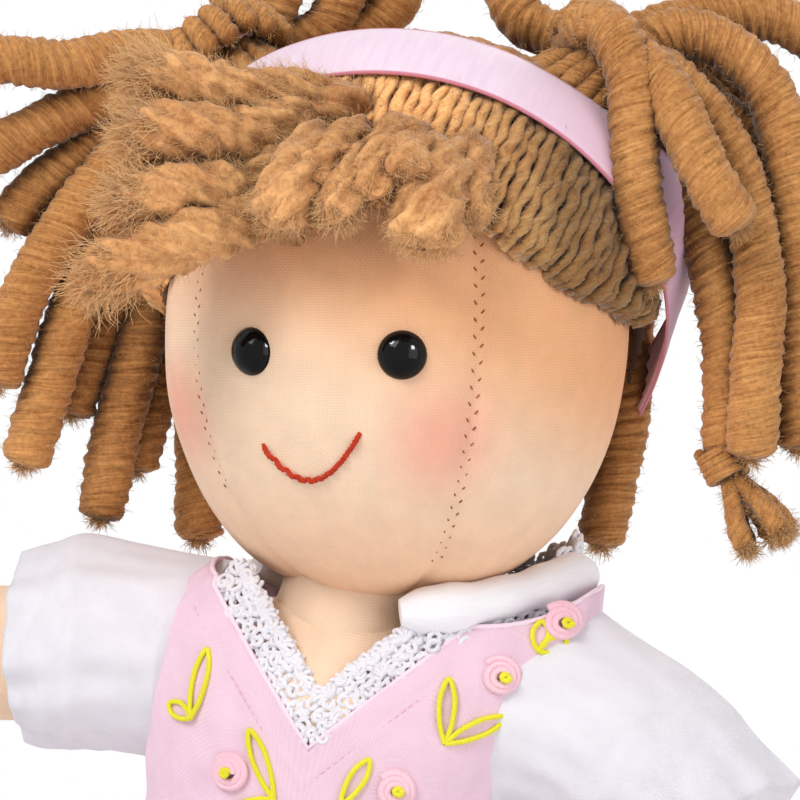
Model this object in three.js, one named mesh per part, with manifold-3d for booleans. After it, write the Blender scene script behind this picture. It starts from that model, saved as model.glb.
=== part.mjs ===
// A stuffed cotton rag doll with yarn pigtails, standing with its arms out and its head tilted.
// Millimetres, +Z up. The doll faces -Y and its own left is +X.
// The origin lies on the floor, under the middle of the doll's box.

import * as THREE from 'three';
import { mergeVertices } from 'three/addons/utils/BufferGeometryUtils.js';
import Module from 'manifold-3d';

const wasm = await Module();
wasm.setup();

// Cloth and clearances
const CLOTH = 1.4;
const GAP = 0.4;
const LACE_THICKNESS = 1;

// Legs and shoes
const LEG_LENGTH = 118;
const HIP_SPAN = 38;
const THIGH_DIAMETER = 30;
const KNEE_DIAMETER = 26;
const ANKLE_DIAMETER = 22;
const SHOE_LENGTH = 48;
const SHOE_WIDTH = 29;
const SHOE_HEIGHT = 21;
const SHOE_HEEL = 17;
const SOLE_THICKNESS = 3;
const STRAP_WIDTH = 5;
const STRAP_THICKNESS = 1.6;
const BUTTON_DIAMETER = 5;
const BLOOMERS_LENGTH = 34;

// Torso
const TORSO_HEIGHT = 107;
const HIP_WIDTH = 68;
const WAIST_WIDTH = 61;
const CHEST_WIDTH = 63;
const NECK_BASE_WIDTH = 35;
const TORSO_DEPTH_RATIO = 0.76;
const WAIST_HEIGHT = 30;
const ARMPIT_HEIGHT = 72;

// Arms and sleeves
const SHOULDER_OUTSET = 10.5;
const SHOULDER_DROP = 15;
const ARM_LENGTH = 100;
const ARM_DIAMETER = 26;
const WRIST_DIAMETER = 20;
const HAND_DIAMETER = 25;
const SLEEVE_BALL_DIAMETER = 33;
const SLEEVE_PUFF_DIAMETER = 39;
const SLEEVE_HEM_DIAMETER = 33;
const SLEEVE_LENGTH = 36;
const LIMB_ROOT_DEPTH = 9;
const LEVEL_ARM_TURN = 90;
const RIGHT_ARM_DROOP = 10;
const LEFT_ARM_DROOP = 32;

// Neck and head
const NECK_DIAMETER = 28;
const NECK_SINK = 12;
const NECK_SHOWS = 3;
const NECK_IN_HEAD = 4;
const NOD_SPREAD = 9;
const HEAD_WIDTH = 88;
const HEAD_DEPTH = 84;
const HEAD_HEIGHT = 102;
const HEAD_FULLNESS = 0.85;
const HEAD_TURN = -9;
const HEAD_TILT = -7.5;
const FACE_SEAM_ANGLE = 38;
const BACK_SEAM_ANGLE = 105;
const EYE_DIAMETER = 9.2;
const EYE_STANDS_OUT = 3.2;
const EYE_LONGITUDE = 19.5;
const EYE_LATITUDE = -6.3;
const SMILE_THREAD = 1.2;
const SMILE_LONGITUDE = 13.5;
const SMILE_MIDDLE = -4.2;
const SMILE_END_LATITUDE = -24.5;
const SMILE_LOW_LATITUDE = -33.5;

// Hair, ribbon and ties
const HAIR_THICKNESS = 6;
const BROW_HAIRLINE_Y = -28;
const BROW_HAIRLINE_Z = 26;
const BROW_HAIRLINE_SLOPE = 29;
const NAPE_HAIRLINE_Y = 12;
const NAPE_HAIRLINE_Z = 4;
const NAPE_HAIRLINE_SLOPE = 50;
const RIBBON_WIDTH = 15;
const RIBBON_THICKNESS = 1;
const RIBBON_TILT = 50;
const RIBBON_FROM_CENTRE = 17;
const LOCK_DIAMETER = 10.5;
const PIGTAIL_LONGITUDE = 100;
const PIGTAIL_LATITUDE = 50;
const PIGTAIL_BALL_DIAMETER = 20;
const PIGTAIL_BALL_SUNK = 4.5;
const TIE_DIAMETER = 23;
const TIE_THICKNESS = 3.6;
const TIE_LIFT = 5;
const LOCK_SPREAD_LIFT = 11;
const LOCK_FORK_SHARE = 0.12;
const LOCK_CROWN_SHARE = 0.4;
const LOCK_DROP_SHARE = 0.55;
const LOCK_BELLY_SHARE = 0.16;

// Dress
const NECKLINE_WIDTH = 42;
const NECKLINE_DEPTH = 24;
const LACE_WIDTH = 11;
const COLLAR_WIDTH = 44;
const COLLAR_DEPTH = 39;
const COLLAR_ROLL_DIAMETER = 6;
const COLLAR_OPENING_ANGLE = 40;
const SKIRT_LENGTH = 92;
const SKIRT_HEM_WIDTH = 118;
const SKIRT_SHOULDER_WIDTH = 80;
const SKIRT_FOLD_COUNT = 11;
const SKIRT_FOLD_DEPTH = 4;

// Heights that follow from the sizes above
const CLOTH_LAYER = GAP + CLOTH;
const HIP_Z = LEG_LENGTH;
const THIGH_LAYER_RADIUS = THIGH_DIAMETER / 2 + CLOTH_LAYER;
const TORSO_BOTTOM = HIP_Z + THIGH_LAYER_RADIUS + GAP + CLOTH_LAYER;
const TORSO_TOP = TORSO_BOTTOM + TORSO_HEIGHT;
const WAIST_Z = TORSO_BOTTOM + WAIST_HEIGHT;
const SHOULDER_Z = TORSO_TOP - SHOULDER_DROP;
const SHOULDER_SPAN = CHEST_WIDTH + 2 * SHOULDER_OUTSET;
const NOD_Z = TORSO_TOP - NECK_SINK;
const HEAD_BOTTOM = TORSO_TOP + NECK_SHOWS;
const NECK_TOP = HEAD_BOTTOM + NECK_IN_HEAD;
const HEAD_Z = HEAD_BOTTOM + HEAD_HEIGHT / 2;

// How finely round shapes are cut into facets
const HEAD_SEGMENT_COUNT = 18;
const HEAD_RING_COUNT = 10;
const TORSO_SEGMENT_COUNT = 14;
const LIMB_SEGMENT_COUNT = 11;
const ROOM_SEGMENT_COUNT = 16;
const SKIRT_FOLD_SEGMENT_COUNT = 4;
const LOCK_SIDE_COUNT = 5;
const LOCK_STEP_COUNT = 5;
const COLLAR_SIDE_COUNT = 7;
const TIE_SIDE_COUNT = 6;
const TIE_SEGMENT_COUNT = 12;
const ROUND_END_ANGLES = [-60, -30, 0];
const CUTTER_SIZE = 500;
const MERGE_DISTANCE = 1e-3;

const cotton = (color, roughness = 0.9) => new THREE.MeshStandardMaterial({ color, roughness, metalness: 0 });
const SKIN = cotton('#f5c8a5');
const STUFFING = cotton('#f4f1ea', 1);
const YARN = cotton('#b08050', 0.95);
const SATIN = cotton('#eecde1', 0.4);
const PINK = cotton('#f5d7e8');
const WHITE = cotton('#f3f0f6');
const LACE = cotton('#fbf9fa');
const MOUTH = cotton('#c83c23', 0.8);
const BEAD = cotton('#0a0a0c', 0.12);
const SHOE = cotton('#e2a3bd', 0.95);
const SOLE = cotton('#f0dfd6', 0.95);
const BUTTON = cotton('#fff6fa', 0.3);

const radians = THREE.MathUtils.degToRad;

// Makes a solid of a closed geometry, with its shared points merged and its faces pointing out.
function solid(geometry) {
  const bare = geometry.clone();
  bare.deleteAttribute('normal');
  bare.deleteAttribute('uv');
  const merged = mergeVertices(bare, MERGE_DISTANCE);
  const points = merged.getAttribute('position').array;
  const index = merged.index.array;
  const faces = [];
  let volume = 0;
  const corners = [new THREE.Vector3(), new THREE.Vector3(), new THREE.Vector3()];
  for (let i = 0; i < index.length; i += 3) {
    const [a, b, c] = [index[i], index[i + 1], index[i + 2]];
    if (a === b || b === c || c === a) continue;
    faces.push(a, b, c);
    corners[0].fromArray(points, 3 * a);
    corners[1].fromArray(points, 3 * b);
    corners[2].fromArray(points, 3 * c);
    volume += corners[0].dot(corners[1].clone().cross(corners[2]));
  }
  if (volume < 0) faces.reverse();
  return new wasm.Manifold(new wasm.Mesh({
    numProp: 3,
    vertProperties: new Float32Array(points),
    triVerts: new Uint32Array(faces),
  }));
}

const joined = (solids) => solids.reduce((whole, piece) => whole.add(piece));
const cut = (body, ...cutters) => cutters.reduce((rest, cutter) => rest.subtract(cutter), body);

// Turns [radius, height] points, from the bottom to the top, round the Z axis.
function turned(points, segments) {
  const path = points.map(([radius, height]) => new THREE.Vector2(radius, height));
  return new THREE.LatheGeometry(path, segments).rotateX(Math.PI / 2);
}

// A smooth profile through a few [radius, height] points, never wider than the widest of them.
function smoothed(points, count) {
  const widest = Math.max(...points.map(([radius]) => radius));
  const curve = new THREE.SplineCurve(points.map(([radius, height]) => new THREE.Vector2(radius, height)));
  return curve.getPoints(count).map((point) => [Math.min(point.x, widest), point.y]);
}

// A long round cutter along Z whose flat facets stay outside its circle.
function boring(diameter, segments) {
  const radius = diameter / 2 / Math.cos(Math.PI / segments);
  return new THREE.CylinderGeometry(radius, radius, CUTTER_SIZE, segments).rotateX(Math.PI / 2);
}

const ball = (radius, x, y, z, segments = LIMB_SEGMENT_COUNT) =>
  solid(new THREE.SphereGeometry(radius, segments, Math.ceil(segments / 2)).translate(x, y, z));

// A round cutter whose flat facets stay outside its sphere, so that a ball can turn in the room it leaves.
const ballRoom = (radius, x, y, z) =>
  ball(radius / Math.cos(Math.PI / ROOM_SEGMENT_COUNT) ** 2, x, y, z, ROOM_SEGMENT_COUNT);

// A round cord of one thickness along a smooth path.
function rope(points, diameter, sides = LOCK_SIDE_COUNT, steps = LOCK_STEP_COUNT) {
  const section = new THREE.Shape();
  for (let i = 0; i < sides; i++) {
    const angle = (2 * Math.PI * i) / sides;
    const corner = [(diameter / 2) * Math.cos(angle), (diameter / 2) * Math.sin(angle)];
    if (i === 0) section.moveTo(...corner);
    else section.lineTo(...corner);
  }
  section.closePath();
  const extrudePath = new THREE.CatmullRomCurve3(points);
  return solid(new THREE.ExtrudeGeometry(section, { steps, extrudePath, bevelEnabled: false }));
}

// An outline in the XZ plane, pushed through the doll from its front to the middle.
function frontPrism(outline) {
  const shape = new THREE.Shape(outline.map(([x, z]) => new THREE.Vector2(x, z)));
  const prism = new THREE.ExtrudeGeometry(shape, { depth: CUTTER_SIZE, bevelEnabled: false });
  return solid(prism.rotateX(Math.PI / 2));
}

// Everything above a level.
const above = (z) =>
  solid(new THREE.BoxGeometry(CUTTER_SIZE, CUTTER_SIZE, CUTTER_SIZE).translate(0, 0, z + CUTTER_SIZE / 2));

function addPart(group, name, body, material) {
  const { vertProperties, triVerts } = body.getMesh();
  const geometry = new THREE.BufferGeometry();
  geometry.setAttribute('position', new THREE.BufferAttribute(new Float32Array(vertProperties), 3));
  geometry.setIndex(new THREE.BufferAttribute(new Uint32Array(triVerts), 1));
  geometry.computeVertexNormals();
  const mesh = new THREE.Mesh(geometry, material);
  mesh.name = name;
  group.add(mesh);
}

// Head: a full egg, the same shape at any distance from its cloth.
function headPoint(longitude, latitude, lift) {
  const level = radians(latitude);
  const turn = radians(longitude);
  const reach = Math.cos(level) ** HEAD_FULLNESS;
  return new THREE.Vector3(
    (HEAD_WIDTH / 2 + lift) * reach * Math.sin(turn),
    -(HEAD_DEPTH / 2 + lift) * reach * Math.cos(turn),
    HEAD_Z + (HEAD_HEIGHT / 2 + lift) * Math.sin(level),
  );
}

function headBody(lift) {
  const halfWidth = HEAD_WIDTH / 2 + lift;
  const profile = [];
  for (let i = 0; i <= HEAD_RING_COUNT; i++) {
    const level = Math.PI * (i / HEAD_RING_COUNT - 0.5);
    const onAxis = i === 0 || i === HEAD_RING_COUNT;
    const radius = onAxis ? 0 : halfWidth * Math.cos(level) ** HEAD_FULLNESS;
    profile.push([radius, (HEAD_HEIGHT / 2 + lift) * Math.sin(level)]);
  }
  const depthRatio = (HEAD_DEPTH / 2 + lift) / halfWidth;
  return solid(turned(profile, HEAD_SEGMENT_COUNT).scale(1, depthRatio, 1).translate(0, 0, HEAD_Z));
}

// An upright wedge between two longitudes, drawn back from its seams by half a gap.
function wedge(from, to) {
  const middle = radians((from + to) / 2);
  const apexShift = GAP / 2 / Math.sin(radians((to - from) / 2));
  const apex = new THREE.Vector2(Math.sin(middle), -Math.cos(middle)).multiplyScalar(apexShift);
  const outline = [apex];
  const corners = 6;
  for (let i = 0; i <= corners; i++) {
    const angle = radians(from + ((to - from) * i) / corners);
    const reach = new THREE.Vector2(Math.sin(angle), -Math.cos(angle)).multiplyScalar(CUTTER_SIZE);
    outline.push(reach.add(apex));
  }
  const shape = new THREE.Shape(outline);
  const prism = new THREE.ExtrudeGeometry(shape, { depth: CUTTER_SIZE, bevelEnabled: false });
  return solid(prism.translate(0, 0, HEAD_Z - CUTTER_SIZE / 2));
}

// The head's own turn and tilt, round its middle.
function headPose() {
  const turn = new THREE.Euler(0, radians(HEAD_TILT), radians(HEAD_TURN), 'ZYX');
  const pose = new THREE.Matrix4().makeTranslation(0, 0, HEAD_Z);
  pose.multiply(new THREE.Matrix4().makeRotationFromEuler(turn));
  return pose.multiply(new THREE.Matrix4().makeTranslation(0, 0, -HEAD_Z));
}

// The hole that the upright neck leaves in the tilted head.
function neckHole() {
  const bore = boring(NECK_DIAMETER + 2 * GAP, TORSO_SEGMENT_COUNT);
  bore.translate(0, 0, NECK_TOP + GAP - CUTTER_SIZE / 2);
  return solid(bore.applyMatrix4(headPose().invert()));
}

function buildHead(doll) {
  const head = new THREE.Group();
  head.applyMatrix4(headPose());
  doll.add(head);
  const eyeSpots = [-1, 1].map((side) =>
    headPoint(side * EYE_LONGITUDE, EYE_LATITUDE, EYE_STANDS_OUT - EYE_DIAMETER / 2));
  const eyeDimples = eyeSpots.map((spot) => ball(EYE_DIAMETER / 2 + GAP, spot.x, spot.y, spot.z));
  const filling = cut(headBody(-CLOTH_LAYER), neckHole(), ...eyeDimples);
  addPart(head, 'head_stuffing', filling, STUFFING);

  const skin = cut(headBody(0), headBody(-CLOTH), neckHole(), ...eyeDimples);
  const panels = {
    face_panel: [-FACE_SEAM_ANGLE, FACE_SEAM_ANGLE],
    head_side_panel_left: [FACE_SEAM_ANGLE, BACK_SEAM_ANGLE],
    head_side_panel_right: [-BACK_SEAM_ANGLE, -FACE_SEAM_ANGLE],
    head_back_panel: [BACK_SEAM_ANGLE, 360 - BACK_SEAM_ANGLE],
  };
  for (const [name, [from, to]] of Object.entries(panels)) {
    addPart(head, name, skin.intersect(wedge(from, to)), SKIN);
  }
  addPart(head, 'eye_right', ball(EYE_DIAMETER / 2, ...eyeSpots[0]), BEAD);
  addPart(head, 'eye_left', ball(EYE_DIAMETER / 2, ...eyeSpots[1]), BEAD);

  const smile = [];
  const smilePoints = 8;
  for (let i = 0; i <= smilePoints; i++) {
    const share = (2 * i) / smilePoints - 1;
    const latitude = SMILE_LOW_LATITUDE + (SMILE_END_LATITUDE - SMILE_LOW_LATITUDE) * share ** 2;
    smile.push(headPoint(SMILE_MIDDLE + share * SMILE_LONGITUDE, latitude, SMILE_THREAD / 2 + GAP));
  }
  addPart(head, 'smile_stitch', rope(smile, SMILE_THREAD, LOCK_SIDE_COUNT, 2 * smilePoints), MOUTH);
  buildHair(head);
}

// Everything below a plane that falls towards the back at a slope.
const belowSlope = (y, z, slope) => solid(
  new THREE.BoxGeometry(CUTTER_SIZE, CUTTER_SIZE, CUTTER_SIZE).translate(0, 0, -CUTTER_SIZE / 2)
    .rotateX(-radians(slope)).translate(0, y, HEAD_Z + z));

function ribbonSlab(width) {
  const slab = new THREE.BoxGeometry(CUTTER_SIZE, CUTTER_SIZE, width).translate(0, 0, RIBBON_FROM_CENTRE);
  return solid(slab.rotateX(-radians(RIBBON_TILT)).translate(0, 0, HEAD_Z));
}

// The space that the ribbon takes on the hair, with its clearance.
function ribbonRoom() {
  const reach = HAIR_THICKNESS + GAP + RIBBON_THICKNESS + GAP;
  return headBody(reach).intersect(ribbonSlab(RIBBON_WIDTH + 2 * GAP));
}

// Where a pigtail leaves the hair, and the way that it points.
function pigtailSeat(side) {
  const longitude = side * PIGTAIL_LONGITUDE;
  const foot = headPoint(longitude, PIGTAIL_LATITUDE, HAIR_THICKNESS);
  const outward = headPoint(longitude, PIGTAIL_LATITUDE, HAIR_THICKNESS + 1).sub(foot).normalize();
  return { pivot: foot.addScaledVector(outward, PIGTAIL_BALL_DIAMETER / 2 - PIGTAIL_BALL_SUNK), outward };
}

// Ends of the locks, from the pivot: how far out, back and up. The last number lifts the bend of the lock.
const LEFT_LOCKS = [
  [16, -28, -40, 10],
  [36, -17, -34, 12],
  [27, -12, -76, 10],
  [33, -19, -92, 8],
  [54, 0, -46, 12],
  [60, -22, -16, 12],
  [48, 18, -62, 12],
  [28, 27, -56, 10],
  [20, 16, -82, 9],
  [30, 8, -8, 22],
  [46, 30, -30, 16],
];
const RIGHT_LOCKS = [
  [66, -20, 6, 5],
  [62, -12, -14, 6],
  [56, -24, -32, 6],
  [54, -8, -50, 6],
  [44, -16, -72, 6],
  [24, -2, -78, 6],
  [35, 8, -66, 7],
  [24, 32, 2, 24],
  [32, 26, -62, 8],
  [46, 24, -36, 10],
  [26, -26, -44, 8],
];

function pigtail(side, ends) {
  const { pivot, outward } = pigtailSeat(side);
  const strands = ends.map(([out, back, up, bend]) => {
    const end = new THREE.Vector3(side * out, back, up).add(pivot);
    const sideways = new THREE.Vector3(side * out, back, 0);
    const fork = pivot.clone().addScaledVector(outward, LOCK_SPREAD_LIFT)
      .addScaledVector(sideways, LOCK_FORK_SHARE);
    const crown = fork.clone().addScaledVector(sideways, LOCK_CROWN_SHARE);
    crown.z += bend;
    const drop = crown.clone().lerp(end, LOCK_DROP_SHARE).addScaledVector(sideways, LOCK_BELLY_SHARE);
    return rope([pivot, fork, crown, drop, end], LOCK_DIAMETER);
  });
  return joined([ball(PIGTAIL_BALL_DIAMETER / 2, ...pivot), ...strands]);
}

// The tie's ring, or with some room the groove that it presses into the yarn.
function hairTie(side, room) {
  const { pivot, outward } = pigtailSeat(side);
  const turn = new THREE.Quaternion().setFromUnitVectors(new THREE.Vector3(0, 0, 1), outward);
  const centre = pivot.clone().addScaledVector(outward, TIE_LIFT);
  const ringRadius = (TIE_DIAMETER - TIE_THICKNESS) / 2;
  const cordRadius = TIE_THICKNESS / 2 + room;
  const ring = new THREE.TorusGeometry(ringRadius, cordRadius, TIE_SIDE_COUNT, TIE_SEGMENT_COUNT);
  return solid(ring.applyQuaternion(turn).translate(...centre));
}

// Fringe locks: where each lies over the hair at its root, its middle and its cut end.
// Each point is a longitude, a latitude and a height over the hair's surface.
const FRINGE_LOCKS = [
  [[-28, 56, 4], [-44, 44, 7], [-58, 44, 11]],
  [[-34, 50, 3], [-52, 36, 7], [-62, 33, 12]],
  [[-22, 48, 4], [-40, 27, 6], [-55, 10, 12]],
  [[-12, 52, 4], [-16, 36, 6], [-20, 22, 5]],
  [[-2, 54, 4], [0, 38, 7], [2, 22, 5]],
  [[10, 55, 4], [14, 38, 7], [14, 24, 7]],
  [[22, 54, 4], [27, 38, 6], [29, 24, 5]],
  [[-16, 60, 4], [-4, 48, 9], [8, 40, 10]],
];

function fringe() {
  const locks = FRINGE_LOCKS.map((spots) =>
    rope(spots.map(([longitude, latitude, lift]) => headPoint(longitude, latitude, HAIR_THICKNESS + lift)),
      LOCK_DIAMETER));
  return cut(joined(locks), headBody(HAIR_THICKNESS + GAP), ribbonRoom());
}

// A loose lock that hangs from the hair behind the ear.
const NAPE_LOCK = [[118, 6, 5.5], [124, -14, 6], [122, -34, 9]];

function napeLock(side) {
  const path = NAPE_LOCK.map(([longitude, latitude, lift]) =>
    headPoint(side * longitude, latitude, HAIR_THICKNESS + lift));
  return cut(rope(path, LOCK_DIAMETER), headBody(HAIR_THICKNESS + GAP), ribbonRoom());
}

function buildHair(head) {
  const sides = { left: 1, right: -1 };
  const rootRooms = Object.values(sides).map((side) =>
    ballRoom(PIGTAIL_BALL_DIAMETER / 2 + GAP, ...pigtailSeat(side).pivot));
  const face = belowSlope(BROW_HAIRLINE_Y, BROW_HAIRLINE_Z, BROW_HAIRLINE_SLOPE)
    .intersect(belowSlope(NAPE_HAIRLINE_Y, NAPE_HAIRLINE_Z, NAPE_HAIRLINE_SLOPE));
  addPart(head, 'hair_cap', cut(headBody(HAIR_THICKNESS), headBody(GAP), face, ...rootRooms), YARN);

  const overHair = cut(headBody(HAIR_THICKNESS + GAP + RIBBON_THICKNESS), headBody(HAIR_THICKNESS + GAP));
  addPart(head, 'headband', cut(overHair.intersect(ribbonSlab(RIBBON_WIDTH)), ...rootRooms), SATIN);
  addPart(head, 'hair_fringe', fringe(), YARN);
  for (const [name, side] of Object.entries(sides)) {
    const ends = side > 0 ? LEFT_LOCKS : RIGHT_LOCKS;
    addPart(head, `nape_lock_${name}`, napeLock(side), YARN);
    addPart(head, `hair_tie_${name}`, hairTie(side, 0), SATIN);
    addPart(head, `pigtail_${name}`, cut(pigtail(side, ends), hairTie(side, GAP)), YARN);
  }
}

// Torso: flat under the seat, full at the hips, drawn in at the chest and sloping to the neck.
function torsoBody(lift) {
  const side = smoothed([
    [0.36 * HIP_WIDTH, 0],
    [0.48 * HIP_WIDTH, 0.06 * TORSO_HEIGHT],
    [0.5 * HIP_WIDTH, 0.6 * WAIST_HEIGHT],
    [0.5 * WAIST_WIDTH, WAIST_HEIGHT + 4],
    [0.5 * CHEST_WIDTH, ARMPIT_HEIGHT],
    [0.5 * CHEST_WIDTH, 0.78 * TORSO_HEIGHT],
    [0.45 * CHEST_WIDTH, 0.9 * TORSO_HEIGHT],
    [0.5 * NECK_BASE_WIDTH, TORSO_HEIGHT],
  ], 9);
  const stretch = (TORSO_HEIGHT + 2 * lift) / TORSO_HEIGHT;
  const lifted = side.map(([radius, height]) => [radius + lift, height * stretch - lift]);
  const profile = [[0, -lift], ...lifted, [0, TORSO_HEIGHT + lift]];
  const halfWidth = HIP_WIDTH / 2;
  const depthRatio = (halfWidth * TORSO_DEPTH_RATIO + lift) / (halfWidth + lift);
  return solid(turned(profile, TORSO_SEGMENT_COUNT).scale(1, depthRatio, 1).translate(0, 0, TORSO_BOTTOM));
}

// The hollow that the neck turns in: a cup under its ball and a funnel above.
function neckRoom() {
  const radius = (NECK_DIAMETER / 2 + GAP) / Math.cos(Math.PI / TORSO_SEGMENT_COUNT);
  const height = TORSO_TOP - NOD_Z + NECK_SHOWS;
  const profile = [[0, -radius]];
  for (const angle of ROUND_END_ANGLES) {
    profile.push([radius * Math.cos(radians(angle)), radius * Math.sin(radians(angle))]);
  }
  profile.push([radius + height * Math.tan(radians(NOD_SPREAD)), height], [0, height]);
  return solid(turned(profile, TORSO_SEGMENT_COUNT).translate(0, 0, NOD_Z));
}

const shoulderRooms = () => [-1, 1].map((side) =>
  ballRoom(SLEEVE_BALL_DIAMETER / 2 + GAP, (side * SHOULDER_SPAN) / 2, 0, SHOULDER_Z));

function buildNeck(doll) {
  const radius = NECK_DIAMETER / 2;
  const column = (inset, bottom, top) => {
    const reach = radius - inset;
    const profile = [[0, bottom]];
    for (const angle of ROUND_END_ANGLES) {
      profile.push([reach * Math.cos(radians(angle)), reach * Math.sin(radians(angle))]);
    }
    profile.push([reach, top], [0, top]);
    return solid(turned(profile, TORSO_SEGMENT_COUNT).translate(0, 0, NOD_Z));
  };
  const top = NECK_TOP - NOD_Z;
  const inside = column(CLOTH, -radius + CLOTH, top + CLOTH);
  addPart(doll, 'neck_skin', cut(column(0, -radius, top), inside), SKIN);
  addPart(doll, 'neck_stuffing', column(CLOTH_LAYER, -radius + CLOTH_LAYER, top), STUFFING);
}

// The V of the neckline: half its width at the torso's top, its point below.
function necklineV(drawnIn) {
  const rise = NECKLINE_DEPTH + NECK_SHOWS;
  const slant = Math.hypot(NECKLINE_WIDTH / 2, NECKLINE_DEPTH);
  const pointLift = (drawnIn * slant) / (NECKLINE_WIDTH / 2);
  const sideShift = (drawnIn * slant) / NECKLINE_DEPTH;
  const spread = (NECKLINE_WIDTH / 2) * (rise / NECKLINE_DEPTH);
  const point = [0, TORSO_TOP - NECKLINE_DEPTH + pointLift];
  const top = TORSO_TOP + NECK_SHOWS;
  return { point, left: [spread - sideShift, top], right: [-spread + sideShift, top] };
}

function buildDress(doll) {
  const rooms = [neckRoom(), ...shoulderRooms()];
  const outerV = necklineV(-GAP);
  const openNeck = frontPrism([outerV.right, outerV.point, outerV.left]);
  const belowWaist = solid(new THREE.BoxGeometry(CUTTER_SIZE, CUTTER_SIZE, CUTTER_SIZE)
    .translate(0, 0, WAIST_Z + GAP - CUTTER_SIZE / 2));
  const bodice = cut(torsoBody(CLOTH_LAYER), torsoBody(GAP), belowWaist, openNeck, ...rooms);
  addPart(doll, 'bodice', bodice, PINK);

  const laceOut = necklineV(0);
  const laceIn = necklineV(LACE_WIDTH);
  const laceBand = frontPrism([
    laceOut.right, laceOut.point, laceOut.left, laceIn.left, laceIn.point, laceIn.right]);
  const laceShell = cut(torsoBody(GAP + LACE_THICKNESS), torsoBody(GAP), ...rooms);
  addPart(doll, 'lace_collar', laceShell.intersect(laceBand), LACE);

  const roll = [];
  const rollPoints = 8;
  for (let i = 0; i <= rollPoints; i++) {
    const angle = radians(COLLAR_OPENING_ANGLE + ((360 - 2 * COLLAR_OPENING_ANGLE) * i) / rollPoints);
    const x = (COLLAR_WIDTH / 2) * Math.sin(angle);
    roll.push(new THREE.Vector3(x, -(COLLAR_DEPTH / 2) * Math.cos(angle), TORSO_TOP + GAP));
  }
  const band = rope(roll, COLLAR_ROLL_DIAMETER, COLLAR_SIDE_COUNT, 2 * rollPoints);
  addPart(doll, 'collar_band', cut(band, torsoBody(CLOTH_LAYER + GAP)), WHITE);
  addPart(doll, 'skirt', skirt(), PINK);
  const seat = cut(torsoBody(CLOTH_LAYER), torsoBody(GAP), above(TORSO_BOTTOM + 0.6 * WAIST_HEIGHT));
  addPart(doll, 'bloomers_seat', seat, WHITE);
}

// The skirt hangs from the waist in soft upright folds that deepen towards the hem.
function skirt() {
  const waist = WAIST_WIDTH / 2 + CLOTH_LAYER + GAP;
  const hem = SKIRT_HEM_WIDTH / 2;
  const puff = SKIRT_SHOULDER_WIDTH / 2;
  const outer = smoothed([
    [hem, -SKIRT_LENGTH],
    [puff + 0.72 * (hem - puff), -0.66 * SKIRT_LENGTH],
    [puff + 0.3 * (hem - puff), -0.3 * SKIRT_LENGTH],
    [puff, -0.12 * SKIRT_LENGTH],
    [waist + CLOTH, 0],
  ], 4);
  const inner = outer.map(([radius, height]) => [radius - CLOTH, height]).reverse();
  const geometry = turned([...outer, ...inner, outer[0]], SKIRT_FOLD_COUNT * SKIRT_FOLD_SEGMENT_COUNT);
  const points = geometry.getAttribute('position');
  for (let i = 0; i < points.count; i++) {
    const [x, y, z] = [points.getX(i), points.getY(i), points.getZ(i)];
    const fall = -z / SKIRT_LENGTH;
    const radius = Math.hypot(x, y);
    const fold = SKIRT_FOLD_DEPTH * fall * Math.cos(SKIRT_FOLD_COUNT * Math.atan2(x, y));
    const swell = 1 + fold / radius;
    const depthRatio = TORSO_DEPTH_RATIO + (1 - TORSO_DEPTH_RATIO) * Math.min(1, 0.2 + 0.6 * fall);
    points.setXYZ(i, x * swell, y * swell * depthRatio, z);
  }
  return solid(geometry.translate(0, 0, WAIST_Z));
}

function buildTorso(doll) {
  const rooms = [neckRoom(), ...shoulderRooms()];
  addPart(doll, 'torso_skin', cut(torsoBody(0), torsoBody(-CLOTH), ...rooms), SKIN);
  addPart(doll, 'torso_stuffing', cut(torsoBody(-CLOTH_LAYER), ...rooms), STUFFING);
}

// A limb along +Z from its pivot: a profile of [radius, distance] points, drawn in by an inset
// on its side and at its tip. Its root end is moved out by an overrun.
function limbBody(profile, inset, overrun) {
  const root = profile[0][1];
  const length = profile[profile.length - 1][1] - root;
  const shorter = (length - inset) / length;
  const drawn = profile.map(([radius, along]) =>
    [Math.max(radius - inset, 0), root + (along - root) * shorter]);
  drawn[drawn.length - 1][0] = 0;
  drawn[0][1] = root - overrun;
  return solid(turned([[0, root - overrun], ...drawn], LIMB_SEGMENT_COUNT));
}

function addStuffedLimb(group, name, profile) {
  const hollow = limbBody(profile, CLOTH, CLOTH);
  addPart(group, `${name}_skin`, cut(limbBody(profile, 0, 0), hollow), SKIN);
  addPart(group, `${name}_stuffing`, limbBody(profile, CLOTH_LAYER, 0), STUFFING);
}

// A puffed sleeve: a ball at the shoulder, a gathered hem, and a hole for the arm.
function sleeve() {
  const ballRadius = SLEEVE_BALL_DIAMETER / 2;
  const rootRadius = Math.sqrt(ballRadius ** 2 - LIMB_ROOT_DEPTH ** 2);
  const outer = smoothed([
    [rootRadius, -LIMB_ROOT_DEPTH],
    [ballRadius, 0],
    [SLEEVE_PUFF_DIAMETER / 2, 0.45 * SLEEVE_LENGTH],
    [SLEEVE_PUFF_DIAMETER / 2, 0.72 * SLEEVE_LENGTH],
    [SLEEVE_HEM_DIAMETER / 2, SLEEVE_LENGTH],
  ], 7);
  const body = solid(turned([[0, -LIMB_ROOT_DEPTH], ...outer, [0, SLEEVE_LENGTH]], LIMB_SEGMENT_COUNT + 2));
  return cut(body, solid(boring(ARM_DIAMETER + 2 * GAP, LIMB_SEGMENT_COUNT)));
}

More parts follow.
